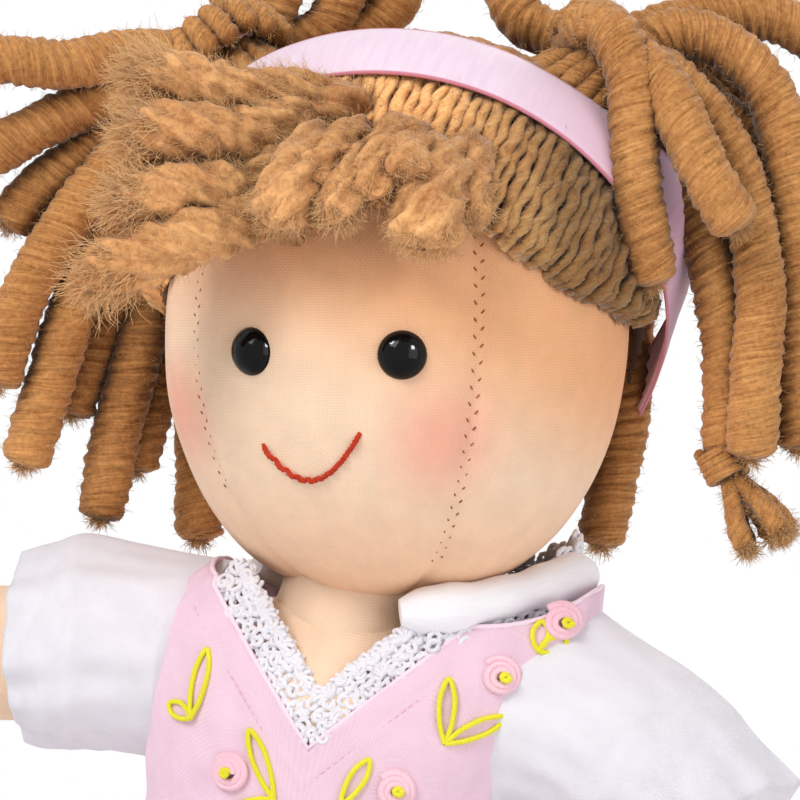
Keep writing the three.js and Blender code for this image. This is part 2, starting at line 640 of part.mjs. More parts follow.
function buildArms(doll) {
  const profile = smoothed([
    [0.46 * ARM_DIAMETER, -LIMB_ROOT_DEPTH],
    [0.5 * ARM_DIAMETER, 0.2 * ARM_LENGTH],
    [0.48 * ARM_DIAMETER, 0.5 * ARM_LENGTH],
    [0.5 * WRIST_DIAMETER, 0.72 * ARM_LENGTH],
    [0.5 * HAND_DIAMETER, 0.86 * ARM_LENGTH],
    [0.36 * HAND_DIAMETER, 0.97 * ARM_LENGTH],
    [0, ARM_LENGTH],
  ], 9);
  const arms = { left: [1, LEVEL_ARM_TURN + LEFT_ARM_DROOP], right: [-1, -LEVEL_ARM_TURN - RIGHT_ARM_DROOP] };
  for (const [name, [side, turn]] of Object.entries(arms)) {
    const arm = new THREE.Group();
    arm.position.set((side * SHOULDER_SPAN) / 2, 0, SHOULDER_Z);
    arm.rotation.y = radians(turn);
    doll.add(arm);
    addStuffedLimb(arm, `arm_${name}`, profile);
    addPart(arm, `sleeve_${name}`, sleeve(), WHITE);
  }
}

// One leg of the drawers: a closed ball at the hip, a hollow for the thigh and a gathered hem.
function bloomersLeg(thighProfile) {
  const radius = THIGH_LAYER_RADIUS;
  const profile = [[0, -radius]];
  for (const angle of ROUND_END_ANGLES) {
    profile.push([radius * Math.cos(radians(angle)), radius * Math.sin(radians(angle))]);
  }
  const hemRadius = radius - 0.3 * CLOTH;
  profile.push([radius, 0.75 * BLOOMERS_LENGTH], [hemRadius, BLOOMERS_LENGTH], [0, BLOOMERS_LENGTH]);
  return cut(solid(turned(profile, LIMB_SEGMENT_COUNT)), limbBody(thighProfile, -GAP, GAP));
}

function buildShoe(leg, name, side) {
  const ankle = boring(ANKLE_DIAMETER + 2 * GAP, LIMB_SEGMENT_COUNT);
  const insole = SOLE_THICKNESS + GAP;
  const ankleRoom = solid(ankle.translate(0, 0, insole + SOLE_THICKNESS + CUTTER_SIZE / 2));
  const middle = SHOE_HEEL - SHOE_LENGTH / 2;
  const last = new THREE.SphereGeometry(1, 18, 10)
    .scale(SHOE_WIDTH / 2, SHOE_LENGTH / 2, SHOE_HEIGHT - insole).translate(0, middle, insole);
  const underFoot = solid(new THREE.BoxGeometry(CUTTER_SIZE, CUTTER_SIZE, CUTTER_SIZE)
    .translate(0, 0, insole - CUTTER_SIZE / 2));
  addPart(leg, `shoe_${name}_upper`, cut(solid(last), underFoot, ankleRoom), SHOE);

  const outline = new THREE.Shape();
  outline.absellipse(0, middle, SHOE_WIDTH / 2, SHOE_LENGTH / 2, 0, 2 * Math.PI);
  const sole = new THREE.ExtrudeGeometry(outline, {
    depth: SOLE_THICKNESS, bevelEnabled: false, curveSegments: 9 });
  addPart(leg, `shoe_${name}_sole`, solid(sole), SOLE);

  const strapRadius = (ANKLE_DIAMETER / 2 + GAP) / Math.cos(Math.PI / LIMB_SEGMENT_COUNT);
  const strapTop = SHOE_HEIGHT + GAP + STRAP_WIDTH;
  const strap = turned([
    [strapRadius, SHOE_HEIGHT + GAP],
    [strapRadius + STRAP_THICKNESS, SHOE_HEIGHT + GAP],
    [strapRadius + STRAP_THICKNESS, strapTop],
    [strapRadius, strapTop],
    [strapRadius, SHOE_HEIGHT + GAP],
  ], LIMB_SEGMENT_COUNT);
  addPart(leg, `shoe_${name}_strap`, solid(strap), SHOE);

  const button = new THREE.SphereGeometry(BUTTON_DIAMETER / 2, 10, 6).scale(0.5, 1, 1);
  const buttonX = side * (strapRadius + STRAP_THICKNESS + GAP + BUTTON_DIAMETER / 4);
  addPart(leg, `shoe_${name}_button`,
    solid(button.translate(buttonX, 0, (SHOE_HEIGHT + GAP + strapTop) / 2)), BUTTON);
}

function buildLegs(doll) {
  const foot = LEG_LENGTH - 2 * SOLE_THICKNESS - 2 * GAP;
  const profile = smoothed([
    [0.17 * THIGH_DIAMETER, -0.47 * THIGH_DIAMETER],
    [0.38 * THIGH_DIAMETER, -0.32 * THIGH_DIAMETER],
    [0.5 * THIGH_DIAMETER, 0],
    [0.5 * THIGH_DIAMETER, 0.2 * LEG_LENGTH],
    [0.5 * KNEE_DIAMETER, 0.5 * LEG_LENGTH],
    [0.5 * ANKLE_DIAMETER, LEG_LENGTH - SHOE_HEIGHT - STRAP_WIDTH - GAP],
  ], 7);
  profile.push([0.5 * ANKLE_DIAMETER, foot - SOLE_THICKNESS], [0.4 * ANKLE_DIAMETER, foot], [0, foot]);
  for (const [name, side] of Object.entries({ left: 1, right: -1 })) {
    const hip = new THREE.Group();
    hip.position.set((side * HIP_SPAN) / 2, 0, HIP_Z);
    hip.rotation.x = Math.PI;
    doll.add(hip);
    addStuffedLimb(hip, `leg_${name}`, profile);
    addPart(hip, `bloomers_leg_${name}`, bloomersLeg(profile), WHITE);

    const shoe = new THREE.Group();
    shoe.position.set((side * HIP_SPAN) / 2, 0, 0);
    doll.add(shoe);
    buildShoe(shoe, name, side);
  }
}

const doll = new THREE.Group();
buildLegs(doll);
buildTorso(doll);
buildDress(doll);
buildArms(doll);
buildNeck(doll);
buildHead(doll);

// The floor's origin goes under the middle of the whole doll.
doll.updateMatrixWorld(true);
const box = new THREE.Box3().setFromObject(doll, true);
const middle = box.getCenter(new THREE.Vector3());
doll.position.set(-middle.x, -middle.y, -box.min.z);

export default doll;
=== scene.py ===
# %% [markdown]
# # A rag doll with yarn pigtails
# The doll is sewn from skin-coloured cotton and stuffed. It wears a pale pink dress with white
# puffed sleeves, and its hair is thick twisted yarn under a satin ribbon.
# Each step below explains one piece of the doll, and the code after it makes that piece.

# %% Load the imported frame
import math
import random

import bmesh
import bpy
from mathutils import Matrix, Vector, noise


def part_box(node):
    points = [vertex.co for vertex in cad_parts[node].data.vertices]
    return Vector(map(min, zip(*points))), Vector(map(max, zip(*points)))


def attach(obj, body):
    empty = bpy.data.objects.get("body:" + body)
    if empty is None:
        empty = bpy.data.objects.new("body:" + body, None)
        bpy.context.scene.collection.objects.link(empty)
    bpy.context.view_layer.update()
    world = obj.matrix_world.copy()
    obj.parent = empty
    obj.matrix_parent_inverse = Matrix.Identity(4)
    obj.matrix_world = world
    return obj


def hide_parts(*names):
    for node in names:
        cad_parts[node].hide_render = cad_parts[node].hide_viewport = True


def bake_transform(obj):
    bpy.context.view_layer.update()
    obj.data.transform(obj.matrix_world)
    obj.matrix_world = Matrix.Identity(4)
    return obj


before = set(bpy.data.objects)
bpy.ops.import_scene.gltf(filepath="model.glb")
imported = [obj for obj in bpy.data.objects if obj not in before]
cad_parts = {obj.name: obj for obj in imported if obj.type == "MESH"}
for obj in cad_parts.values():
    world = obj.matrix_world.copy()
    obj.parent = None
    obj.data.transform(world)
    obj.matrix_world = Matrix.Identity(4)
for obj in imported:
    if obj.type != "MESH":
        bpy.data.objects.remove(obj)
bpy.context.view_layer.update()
scene = bpy.context.scene

# %% [markdown]
# ## One set of measures
# A doll maker thinks in millimetres from the middle of the doll, so every mesh below is drawn
# that way. One matrix then carries it to the frame, which is in metres and has its origin on
# the floor under the middle of the whole box. The head looks a little to one side and tilts,
# so it is drawn upright and a second matrix turns it, with all its hair, round its middle.

# %% Measures shared by many pieces
MM = 0.001
torso_low, torso_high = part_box("torso_stuffing")
MIDDLE_X = (torso_low[0] + torso_high[0]) / 2
MIDDLE_Y = (torso_low[1] + torso_high[1]) / 2
DOLL = Matrix.Translation((MIDDLE_X, MIDDLE_Y, 0)) @ Matrix.Scale(MM, 4)

HEAD_Z = 298
HEAD_TURN, HEAD_TILT = math.radians(-9), math.radians(-7.5)
HEAD_POSE = (Matrix.Translation((0, 0, HEAD_Z)) @ Matrix.Rotation(HEAD_TURN, 4, "Z")
             @ Matrix.Rotation(HEAD_TILT, 4, "Y") @ Matrix.Translation((0, 0, -HEAD_Z)))
ON_HEAD = ("head", "pigtail_left", "pigtail_right")
HEAD_CENTRE = Vector((0, 0, HEAD_Z))
HEAD_SPOT = DOLL @ HEAD_CENTRE
TORSO_BOTTOM = 137
TORSO_HEIGHT = 107
TORSO_TOP = TORSO_BOTTOM + TORSO_HEIGHT
WAIST_Z = 167
HIP_Z = 118
SHOULDER_X = 42
SHOULDER_Z = 229
SIDES = {"left": 1, "right": -1}
# Yarns and locks sway by this noise, so its seed is fixed and every run gives the same doll.
SWAY_SEED = 7
noise.seed_set(SWAY_SEED)


def aimed(direction):
    """A turn that carries the upright axis to a direction."""
    return direction.to_track_quat("Z", "Y").to_matrix().to_4x4()


print("middle of the doll", round(MIDDLE_X, 5), round(MIDDLE_Y, 5))

# %% [markdown]
# ## Nodes
# Finishes and the world are made of shader nodes. A few short functions place and join them, so
# that each finish below reads as a list of steps.

# %% Small helpers for nodes
def colour(red, green, blue):
    """A screen colour, 0 to 255, as the linear values that a shader takes."""
    def linear(value):
        value /= 255
        return value / 12.92 if value <= 0.04045 else ((value + 0.055) / 1.055) ** 2.4
    return (linear(red), linear(green), linear(blue), 1)


def feed(tree, socket, value):
    """Links a socket to an input, or sets the input to a plain value."""
    if isinstance(value, bpy.types.NodeSocket):
        tree.links.new(value, socket)
    else:
        socket.default_value = value


def put(tree, kind, operation=None, **inputs):
    """Adds a node. Its inputs are given by name, or by place as i0, i1 and i2."""
    node = tree.nodes.new("ShaderNode" + kind)
    if operation:
        node.operation = operation
    for key, value in inputs.items():
        by_place = key[0] == "i" and key[1:].isdigit()
        feed(tree, node.inputs[int(key[1:]) if by_place else key.replace("_", " ")], value)
    return node


def calc(tree, operation, *values):
    """The result of one operation on numbers or sockets."""
    node = put(tree, "Math", operation)
    for socket, value in zip(node.inputs, values):
        feed(tree, socket, value)
    return node.outputs[0]


def scaled(tree, vector, factor):
    """A vector or a colour, times a number."""
    return put(tree, "VectorMath", "SCALE", i0=vector, Scale=factor).outputs[0]


def span(tree, value, low, high, first=0.0, last=1.0, smooth=False):
    """Carries a value from one range to another, and stops at its ends."""
    node = put(tree, "MapRange", Value=value, From_Min=low, From_Max=high, To_Min=first, To_Max=last)
    if smooth:
        node.interpolation_type = "SMOOTHSTEP"
    return node.outputs["Result"]


def speckle(tree, place, scale, detail, roughness=0.5):
    """Soft random patches over a place."""
    patches = put(tree, "TexNoise", Vector=place, Scale=scale, Detail=detail, Roughness=roughness)
    return patches.outputs["Fac"]


def mix_colours(tree, factor, first, second):
    """The first colour where the factor is 0, the second where it is 1."""
    node = tree.nodes.new("ShaderNodeMix")
    node.data_type = "RGBA"
    for place, value in ((0, factor), (6, first), (7, second)):
        feed(tree, node.inputs[place], value)
    return node.outputs[2]


def seen_ray(tree):
    """1 for rays that bring a picture, straight, mirrored or through glass, and 0 for light."""
    rays = put(tree, "LightPath").outputs
    seen = rays["Is Camera Ray"]
    for ray in ("Is Glossy Ray", "Is Transmission Ray"):
        seen = calc(tree, "MAXIMUM", seen, rays[ray])
    return seen


def new_group(name, inputs, outputs):
    """An empty shader group with its named sockets."""
    group = bpy.data.node_groups.new(name, "ShaderNodeTree")
    for label, kind, value in inputs:
        socket = group.interface.new_socket(label, in_out="INPUT", socket_type=kind)
        if value is not None:
            socket.default_value = value
    for label, kind in outputs:
        group.interface.new_socket(label, in_out="OUTPUT", socket_type=kind)
    return group, group.nodes.new("NodeGroupInput"), group.nodes.new("NodeGroupOutput")


def use_group(tree, group, **inputs):
    """Places a group in a material, with its own values."""
    node = tree.nodes.new("ShaderNodeGroup")
    node.node_tree = group
    for key, value in inputs.items():
        feed(tree, node.inputs[key], value)
    return node


def new_material(name, **sockets):
    """A material with its main shader's plain values set."""
    material = bpy.data.materials.new(name)
    material.use_nodes = True
    shader = material.node_tree.nodes["Principled BSDF"]
    for key, value in sockets.items():
        shader.inputs[key.replace("_", " ")].default_value = value
    return material, material.node_tree, shader


def add_bump(tree, shader, height, strength, distance):
    """Turns a height into small relief on the shader's normal."""
    bump = put(tree, "Bump", Strength=strength, Distance=distance, Height=height)
    tree.links.new(bump.outputs["Normal"], shader.inputs["Normal"])


print("node helpers ready")

# %% [markdown]
# ## Camera
# The photograph looks at the head and shoulders from the doll's left through a long lens. The
# body leans to the right in it while the face stays upright, so the camera is rolled and the
# head is tilted. The camera is set first.

# %% Camera
CAMERA_AZIMUTH = math.radians(10)
CAMERA_ELEVATION = math.radians(1.5)
CAMERA_ROLL = math.radians(9)
CAMERA_DISTANCE = 0.7
FIELD_WIDTH = 0.152
FRAME_CENTRE_RIGHT = 0.0004
FRAME_CENTRE_UP = -0.0129

towards = Vector((
    math.sin(CAMERA_AZIMUTH) * math.cos(CAMERA_ELEVATION),
    -math.cos(CAMERA_AZIMUTH) * math.cos(CAMERA_ELEVATION),
    math.sin(CAMERA_ELEVATION)))
level_right = Vector((math.cos(CAMERA_AZIMUTH), math.sin(CAMERA_AZIMUTH), 0))
level_up = towards.cross(level_right)
image_right = math.cos(CAMERA_ROLL) * level_right + math.sin(CAMERA_ROLL) * level_up
image_up = math.cos(CAMERA_ROLL) * level_up - math.sin(CAMERA_ROLL) * level_right

lens = bpy.data.cameras.new("camera")
lens.sensor_width = 36
lens.lens = lens.sensor_width * CAMERA_DISTANCE / FIELD_WIDTH
lens.clip_start = 0.01
camera = bpy.data.objects.new("camera", lens)
scene.collection.objects.link(camera)
aim = HEAD_SPOT + FRAME_CENTRE_RIGHT * image_right + FRAME_CENTRE_UP * image_up
turn = Matrix((image_right, image_up, towards)).transposed().to_4x4()
camera.matrix_world = Matrix.Translation(aim + CAMERA_DISTANCE * towards) @ turn
scene.camera = camera
print("camera lens", round(lens.lens, 1), "mm")

# %% [markdown]
# ## Floor, light and background
# The photograph is a product picture on white. Large soft lamps give gentle shading, and the
# world looks white to the camera alone, so that no more light falls on the doll for it.

# %% Floor and light
def add_lamp(name, place, target, size, power):
    """A square soft lamp that looks at a point of the doll."""
    data = bpy.data.lights.new(name, "AREA")
    data.size = size
    data.energy = power
    lamp = bpy.data.objects.new(name, data)
    scene.collection.objects.link(lamp)
    place, target = Vector(place), Vector(target)
    lamp.matrix_world = Matrix.Translation(place) @ aimed(place - target)
    return lamp


CHEST = (0.0, 0.0, 0.25)
add_lamp("key_lamp", (-0.7, -0.95, 1.15), CHEST, 0.7, 13.4)
add_lamp("fill_lamp", (1.15, -0.8, 0.55), CHEST, 1.0, 6.5)
add_lamp("back_lamp", (0.35, 1.1, 0.95), CHEST, 0.9, 7)

# Two small lamps give the bead eyes their points of light. They are linked to the beads alone.
EYE_LIGHTS = [(-0.58, 0.66, 0.45), (0.64, 0.38, 0.66)]
EYE_LIGHT_DISTANCE, EYE_LIGHT_SIZE, EYE_LIGHT_POWER = 0.45, 0.1, 2.2
bead_eyes = bpy.data.collections.new("bead eyes")
for i, (right, up, near) in enumerate(EYE_LIGHTS):
    place = HEAD_SPOT + EYE_LIGHT_DISTANCE * (right * image_right + up * image_up + near * towards)
    lamp = add_lamp(f"eye_light_{i + 1}", place, HEAD_SPOT, EYE_LIGHT_SIZE, EYE_LIGHT_POWER)
    lamp.light_linking.receiver_collection = bead_eyes

floor_mesh = bmesh.new()
bmesh.ops.create_grid(floor_mesh, x_segments=1, y_segments=1, size=3)
floor_data = bpy.data.meshes.new("floor")
floor_mesh.to_mesh(floor_data)
floor_mesh.free()
floor = bpy.data.objects.new("floor", floor_data)
scene.collection.objects.link(floor)
scene.view_settings.view_transform = "Standard"
print("lamps and floor in place")

# %% World that is white to the camera
WORLD_LIGHT = 0.42
world = bpy.data.worlds.new("studio")
scene.world = world
world.use_nodes = True
sky = world.node_tree
background = sky.nodes["Background"]
background.inputs["Color"].default_value = (1, 1, 1, 1)
sky.links.new(span(sky, seen_ray(sky), 0, 1, WORLD_LIGHT), background.inputs["Strength"])
print("world light", WORLD_LIGHT)

# %% [markdown]
# ## Finishes
# Nearly everything here is thread: woven cotton, spun wool, satin and crochet. Two effects
# are shared, so each is a node group. The weave needs a map that follows the cloth, and each
# cloth piece gets one in metres. Wool takes its streaks from the map of the rope that it is
# swept as, and its tufts from object coordinates.

# %% Plain weave group
VECTOR, FLOAT, COLOUR = "NodeSocketVector", "NodeSocketFloat", "NodeSocketColor"
weave, weave_in, weave_out = new_group(
    "plain weave",
    [("Place", VECTOR, None), ("Thread", FLOAT, 0.0005), ("Colour", COLOUR, None), ("Depth", FLOAT, 0.16)],
    [("Colour", COLOUR), ("Height", FLOAT)])
cloth_map = weave_in.outputs["Place"]
threads = scaled(weave, cloth_map, calc(weave, "DIVIDE", 1.0, weave_in.outputs["Thread"]))
drift = put(weave, "TexNoise", Vector=threads, Scale=0.09, Detail=1.0)
wavy = put(weave, "VectorMath", "MULTIPLY_ADD", i0=drift.outputs["Color"], i1=(1.2, 1.2, 0), i2=threads)
axes = put(weave, "SeparateXYZ", Vector=wavy.outputs[0]).outputs
ridges, cells = [], []
for axis in "XY":
    wave = calc(weave, "SINE", calc(weave, "MULTIPLY", axes[axis], math.pi))
    ridges.append(calc(weave, "ABSOLUTE", wave))
    cells.append(calc(weave, "FLOOR", axes[axis]))
over = calc(weave, "PINGPONG", calc(weave, "ADD", *cells), 1.0)
relief = put(weave, "Mix", Factor=over, A=ridges[0], B=ridges[1]).outputs[0]
slub = span(weave, speckle(weave, cloth_map, 160.0, 3.0), 0.3, 0.7, -0.05, 0.03)
shadow = calc(weave, "SUBTRACT", relief, 1.0)
shade = calc(weave, "MULTIPLY_ADD", shadow, weave_in.outputs["Depth"], 1.0)
dyed = scaled(weave, weave_in.outputs["Colour"], calc(weave, "ADD", shade, slub))
weave.links.new(dyed, weave_out.inputs["Colour"])
weave.links.new(relief, weave_out.inputs["Height"])
print("weave group", len(weave.nodes), "nodes")

# %% Wool fibre group
wool, wool_in, wool_out = new_group(
    "wool fibres",
    [("Place", VECTOR, None), ("Map", VECTOR, None), ("Light", COLOUR, None), ("Dark", COLOUR, None),
     ("Fibre", FLOAT, 0.0012)],
    [("Colour", COLOUR), ("Height", FLOAT)])
wool_place = wool_in.outputs["Place"]
round_rope = put(wool, "SeparateXYZ", Vector=wool_in.outputs["Map"]).outputs["Y"]
round_turn = calc(wool, "MULTIPLY", round_rope, 2 * math.pi)
across = put(wool, "CombineXYZ", X=calc(wool, "COSINE", round_turn), Y=calc(wool, "SINE", round_turn))
travel = scaled(wool, wool_place, 150.0)
strand = put(wool, "VectorMath", "MULTIPLY_ADD", i0=across.outputs[0], i1=(2.6, 2.6, 2.6), i2=travel)
streaks = speckle(wool, strand.outputs[0], 1.0, 3.0, 0.6)
tufts = speckle(wool, wool_place, calc(wool, "DIVIDE", 1.0, wool_in.outputs["Fibre"]), 4.0, 0.65)
dye_lots = speckle(wool, wool_place, 55.0, 2.0)
both = calc(wool, "MULTIPLY_ADD", streaks, 0.55, calc(wool, "MULTIPLY", tufts, 0.4))
spread = span(wool, calc(wool, "MULTIPLY_ADD", dye_lots, 0.3, both), 0.46, 0.8)
spun = mix_colours(wool, spread, wool_in.outputs["Dark"], wool_in.outputs["Light"])
wool.links.new(spun, wool_out.inputs["Colour"])
wool.links.new(both, wool_out.inputs["Height"])
print("wool group", len(wool.nodes), "nodes")

# %% Cotton finishes
SKIN_COLOUR = colour(253, 220, 190)
SHADE_COLOUR = colour(251, 187, 138)
BLUSH_COLOUR = colour(250, 164, 142)
PINK_COLOUR = colour(242, 207, 224)
WHITE_COLOUR = colour(232, 229, 236)
SKIN_THREAD, PINK_THREAD, WHITE_THREAD = 0.00048, 0.00042, 0.0004
CLOTH_BUMP = 0.0002


def cotton(name, tint, thread, depth=0.16, relief=0.3):
    """A woven cotton in one colour, with its thread's width in metres."""
    material, tree, shader = new_material(name, Roughness=0.9, Sheen_Weight=0.12, Sheen_Roughness=0.5,
                                          Specular_IOR_Level=0.2)
    place = put(tree, "TexCoord")
    cloth = use_group(tree, weave, Place=place.outputs["UV"], Thread=thread, Colour=tint, Depth=depth)
    tree.links.new(cloth.outputs["Colour"], shader.inputs["Base Color"])
    add_bump(tree, shader, cloth.outputs["Height"], relief, CLOTH_BUMP)
    return material, tree, cloth


skin_cotton, _, _ = cotton("skin cotton", SKIN_COLOUR, SKIN_THREAD)
pink_cotton, _, _ = cotton("pink cotton", PINK_COLOUR, PINK_THREAD, 0.1)
white_cotton, _, _ = cotton("white cotton", WHITE_COLOUR, WHITE_THREAD, 0.06, 0.22)
print("cottons: skin, pink, white")

# %% Face cotton, with painted shade toward the hair and a blush
# The cotton of the head has painted shade, a warmer and darker colour, under the hair, on its
# left side and under the chin, and the cheeks are rubbed with colour. Each blush is a soft spot
# round a place on the face. The two directions are fixed ones of the doll: across its head to its
# left, and up its leaning head.
ACROSS_HEAD = Vector((0.971972, 0.175543, 0.156380))
UP_HEAD = Vector((-0.158547, -0.001703, 0.987349))
FACE_SHADE_WAY = 0.38 * ACROSS_HEAD + 0.88 * UP_HEAD
SHADE_ORIGIN_SHIFT = 18.6
FACE_SHADE_START, FACE_SHADE_END = 4, 32
CHIN_START, CHIN_END, CHIN_SHADE_STRENGTH = 8, 30, 0.55
CHEEKS = [(-35, -25, 281), (21, -34, 277)]
BLUSH_REACH, BLUSH_STRENGTH = 17, 0.7
face_cotton, face_tree, face_cloth = cotton("face cotton", SKIN_COLOUR, SKIN_THREAD)
face_place = put(face_tree, "TexCoord").outputs["Object"]
# Painted shade: from a spot low on the doll's right, the skin turns to the shade colour up the head and to
# its left, and under the chin.
shade_origin = HEAD_SPOT - SHADE_ORIGIN_SHIFT * MM * (ACROSS_HEAD + UP_HEAD)
from_shade_origin = put(face_tree, "VectorMath", "SUBTRACT", i0=face_place, i1=shade_origin).outputs[0]
climb = put(face_tree, "VectorMath", "DOT_PRODUCT", i0=from_shade_origin, i1=FACE_SHADE_WAY).outputs["Value"]
painted_face_shade = span(face_tree, climb, FACE_SHADE_START * MM, FACE_SHADE_END * MM, smooth=True)
sink = put(face_tree, "VectorMath", "DOT_PRODUCT", i0=from_shade_origin, i1=-UP_HEAD).outputs["Value"]
under = span(face_tree, sink, CHIN_START * MM, CHIN_END * MM, 0.0, CHIN_SHADE_STRENGTH)
shaded_skin = mix_colours(face_tree, calc(face_tree, "MAXIMUM", painted_face_shade, under), SKIN_COLOUR, SHADE_COLOUR)
blushes = []
for cheek in CHEEKS:
    cheek_spot = DOLL @ HEAD_POSE @ Vector(cheek)
    away = put(face_tree, "VectorMath", "DISTANCE", i0=face_place, i1=cheek_spot).outputs["Value"]
    blushes.append(span(face_tree, away, 0.0, BLUSH_REACH * MM, BLUSH_STRENGTH, 0.0, smooth=True))
blush = calc(face_tree, "ADD", *blushes)
face_tree.links.new(mix_colours(face_tree, blush, shaded_skin, BLUSH_COLOUR), face_cloth.inputs["Colour"])
print("blush on", len(CHEEKS), "cheeks")

# %% Wool, threads and small finishes
# Hair has painted shade in its gaps: it is darker where other wool is close and a little lighter
# where it is open. The cap also has painted shade across the head toward the doll's left, from
# and to a distance from its middle, and the fringe is paler toward the cut ends.
SHADE_GAP_REACH, SHADE_GAP_SAMPLES, SHADE_GAP_RANGE = 0.016, 6, (0.1, 0.8)
TIP_START = 0.45
WOOL_BUMP = 0.0006


def woollen(name, light, dark, fibre, relief=0.5, gap_shade=None, side_shade=None, tip=None):
    """Spun wool, or with a fine fibre a soft thread or felt, in a light and a dark screen colour."""
    material, tree, shader = new_material(name, Roughness=0.95, Sheen_Weight=0.35, Sheen_Roughness=0.4,
                                          Specular_IOR_Level=0.1)
    place = put(tree, "TexCoord").outputs
    fibres = use_group(tree, wool, Place=place["Object"], Map=place["UV"], Light=colour(*light),
                       Dark=colour(*dark), Fibre=fibre)
    dyed = fibres.outputs["Colour"]
    # Painted shade in the gaps, from ambient occlusion, with a little painted light where the wool is open.
    if gap_shade:
        open_air = put(tree, "AmbientOcclusion", Distance=SHADE_GAP_REACH)
        open_air.samples = SHADE_GAP_SAMPLES
        dyed = scaled(tree, dyed, span(tree, open_air.outputs["AO"], *SHADE_GAP_RANGE, *gap_shade))
    # Painted shade across the head: darker toward the doll's left, from one distance from its middle to
    # another.
    if side_shade:
        start, end, least = side_shade
        from_head = put(tree, "VectorMath", "SUBTRACT", i0=place["Object"], i1=HEAD_SPOT)
        aside = put(tree, "VectorMath", "DOT_PRODUCT", i0=from_head.outputs[0], i1=ACROSS_HEAD)
        dyed = scaled(tree, dyed, span(tree, aside.outputs["Value"], start * MM, end * MM, 1.0, least))
    if tip:
        run = put(tree, "SeparateXYZ", Vector=place["UV"]).outputs["X"]
        dyed = scaled(tree, dyed, span(tree, run, TIP_START, 1.0, 1.0, tip))
    tree.links.new(dyed, shader.inputs["Base Color"])
    add_bump(tree, shader, fibres.outputs["Height"], relief, WOOL_BUMP)
    return material


HAIR_GAP_SHADE, FRINGE_GAP_SHADE, CAP_GAP_SHADE = (0.22, 1.14), (0.35, 1.15), (0.45, 1.35)
CAP_SIDE_SHADE = (6, 30, 0.3)
TIP_PALER = 1.35
yarn_wool = woollen("yarn wool", (216, 158, 97), (145, 90, 46), 0.0009, 0.7, HAIR_GAP_SHADE)
yarn_fuzz = woollen("yarn fuzz", (240, 192, 130), (204, 150, 90), 0.002)
fringe_wool = woollen("fringe wool", (222, 170, 114), (158, 103, 62), 0.0009, 0.9, FRINGE_GAP_SHADE,
                      tip=TIP_PALER)
fringe_fuzz = woollen("fringe fuzz", (248, 204, 144), (226, 170, 108), 0.002)
frayed_wool = woollen("frayed wool", (255, 214, 156), (246, 184, 122), 0.002)
# The cap's front yarns and fuzz are the hair's yarn painted lighter, as if lit, with painted shade toward the
# doll's left.
lit_cap_wool = woollen("cap wool", (255, 208, 142), (222, 150, 88), 0.0007, 0.8, CAP_GAP_SHADE, CAP_SIDE_SHADE)
lit_cap_fuzz = woollen("cap fuzz", (255, 214, 156), (226, 164, 104), 0.002, side_shade=CAP_SIDE_SHADE)
lace_thread = woollen("lace thread", (246, 243, 247), (226, 222, 229), 0.0006, 0.3)
white_wool = woollen("white jersey roll", (252, 250, 252), (244, 240, 246), 0.0004, 0.2)
mouth_thread = woollen("mouth thread", (216, 72, 40), (168, 40, 22), 0.0005, 0.3)
seam_thread = woollen("seam thread", (186, 108, 74), (140, 72, 48), 0.0005, 0.3)
leaf_thread = woollen("leaf thread", (248, 242, 74), (224, 214, 44), 0.0005, 0.3)
rosette_thread = woollen("rosette thread", (253, 214, 224), (246, 190, 206), 0.0005, 0.3)
binding_wool = woollen("neckline binding", (250, 228, 240), (242, 212, 229), 0.0006, 0.2)
facing_thread = woollen("facing thread", (240, 196, 216), (226, 172, 198), 0.0005, 0.3)
shoe_felt = woollen("shoe felt", (232, 172, 198), (208, 138, 168), 0.0016)
sole_felt = woollen("sole felt", (246, 232, 224), (222, 204, 194), 0.0016)
tie_thread = woollen("tie thread", (240, 208, 228), (214, 170, 198), 0.0008)


def moulded(name, light, dark, shine, roughness):
    """Moulded plastic: a faint cloud in its colour, and a gloss that is a little uneven."""
    material, tree, shader = new_material(name, Specular_IOR_Level=shine)
    cloud = speckle(tree, put(tree, "TexCoord").outputs["Object"], 420.0, 3.0)
    tree.links.new(mix_colours(tree, cloud, colour(*dark), colour(*light)), shader.inputs["Base Color"])
    rubbed = span(tree, cloud, 0, 1, 0.6 * roughness, 1.4 * roughness)
    tree.links.new(rubbed, shader.inputs["Roughness"])
    return material


black_bead = moulded("black bead", (7, 7, 8), (2, 2, 3), 0.16, 0.09)
button_pearl = moulded("button pearl", (252, 244, 248), (232, 214, 226), 0.5, 0.24)
print("wools, threads, bead and button")

# %% Floor paper
# The paper takes the doll's shadow near its feet. Further away it is plain white to the eye,
# as the background is, so no edge of the floor shows.
SHADOW_REACH = (0.25, 0.75)
PAPER_TONES = (0.84, 0.92)
floor_paper, floor_tree, floor_shader = new_material("floor paper", Roughness=1.0)
grain = put(floor_tree, "TexNoise", Scale=220.0, Detail=4.0).outputs["Fac"]
floor_tree.links.new(span(floor_tree, grain, 0, 1, *PAPER_TONES), floor_shader.inputs["Base Color"])
floor_place = put(floor_tree, "TexCoord").outputs["Object"]
from_doll = put(floor_tree, "VectorMath", "LENGTH", i0=floor_place).outputs["Value"]
far = span(floor_tree, from_doll, *SHADOW_REACH, smooth=True)
white_out = calc(floor_tree, "MULTIPLY", far, seen_ray(floor_tree))
white_paper = put(floor_tree, "Emission", Color=(1, 1, 1, 1), Strength=1.0).outputs[0]
paper = put(floor_tree, "MixShader", Fac=white_out, i1=floor_shader.outputs[0], i2=white_paper)
floor_tree.links.new(paper.outputs[0], floor_tree.nodes["Material Output"].inputs["Surface"])
floor_data.materials.append(floor_paper)
print("floor is white beyond", SHADOW_REACH[1], "m")
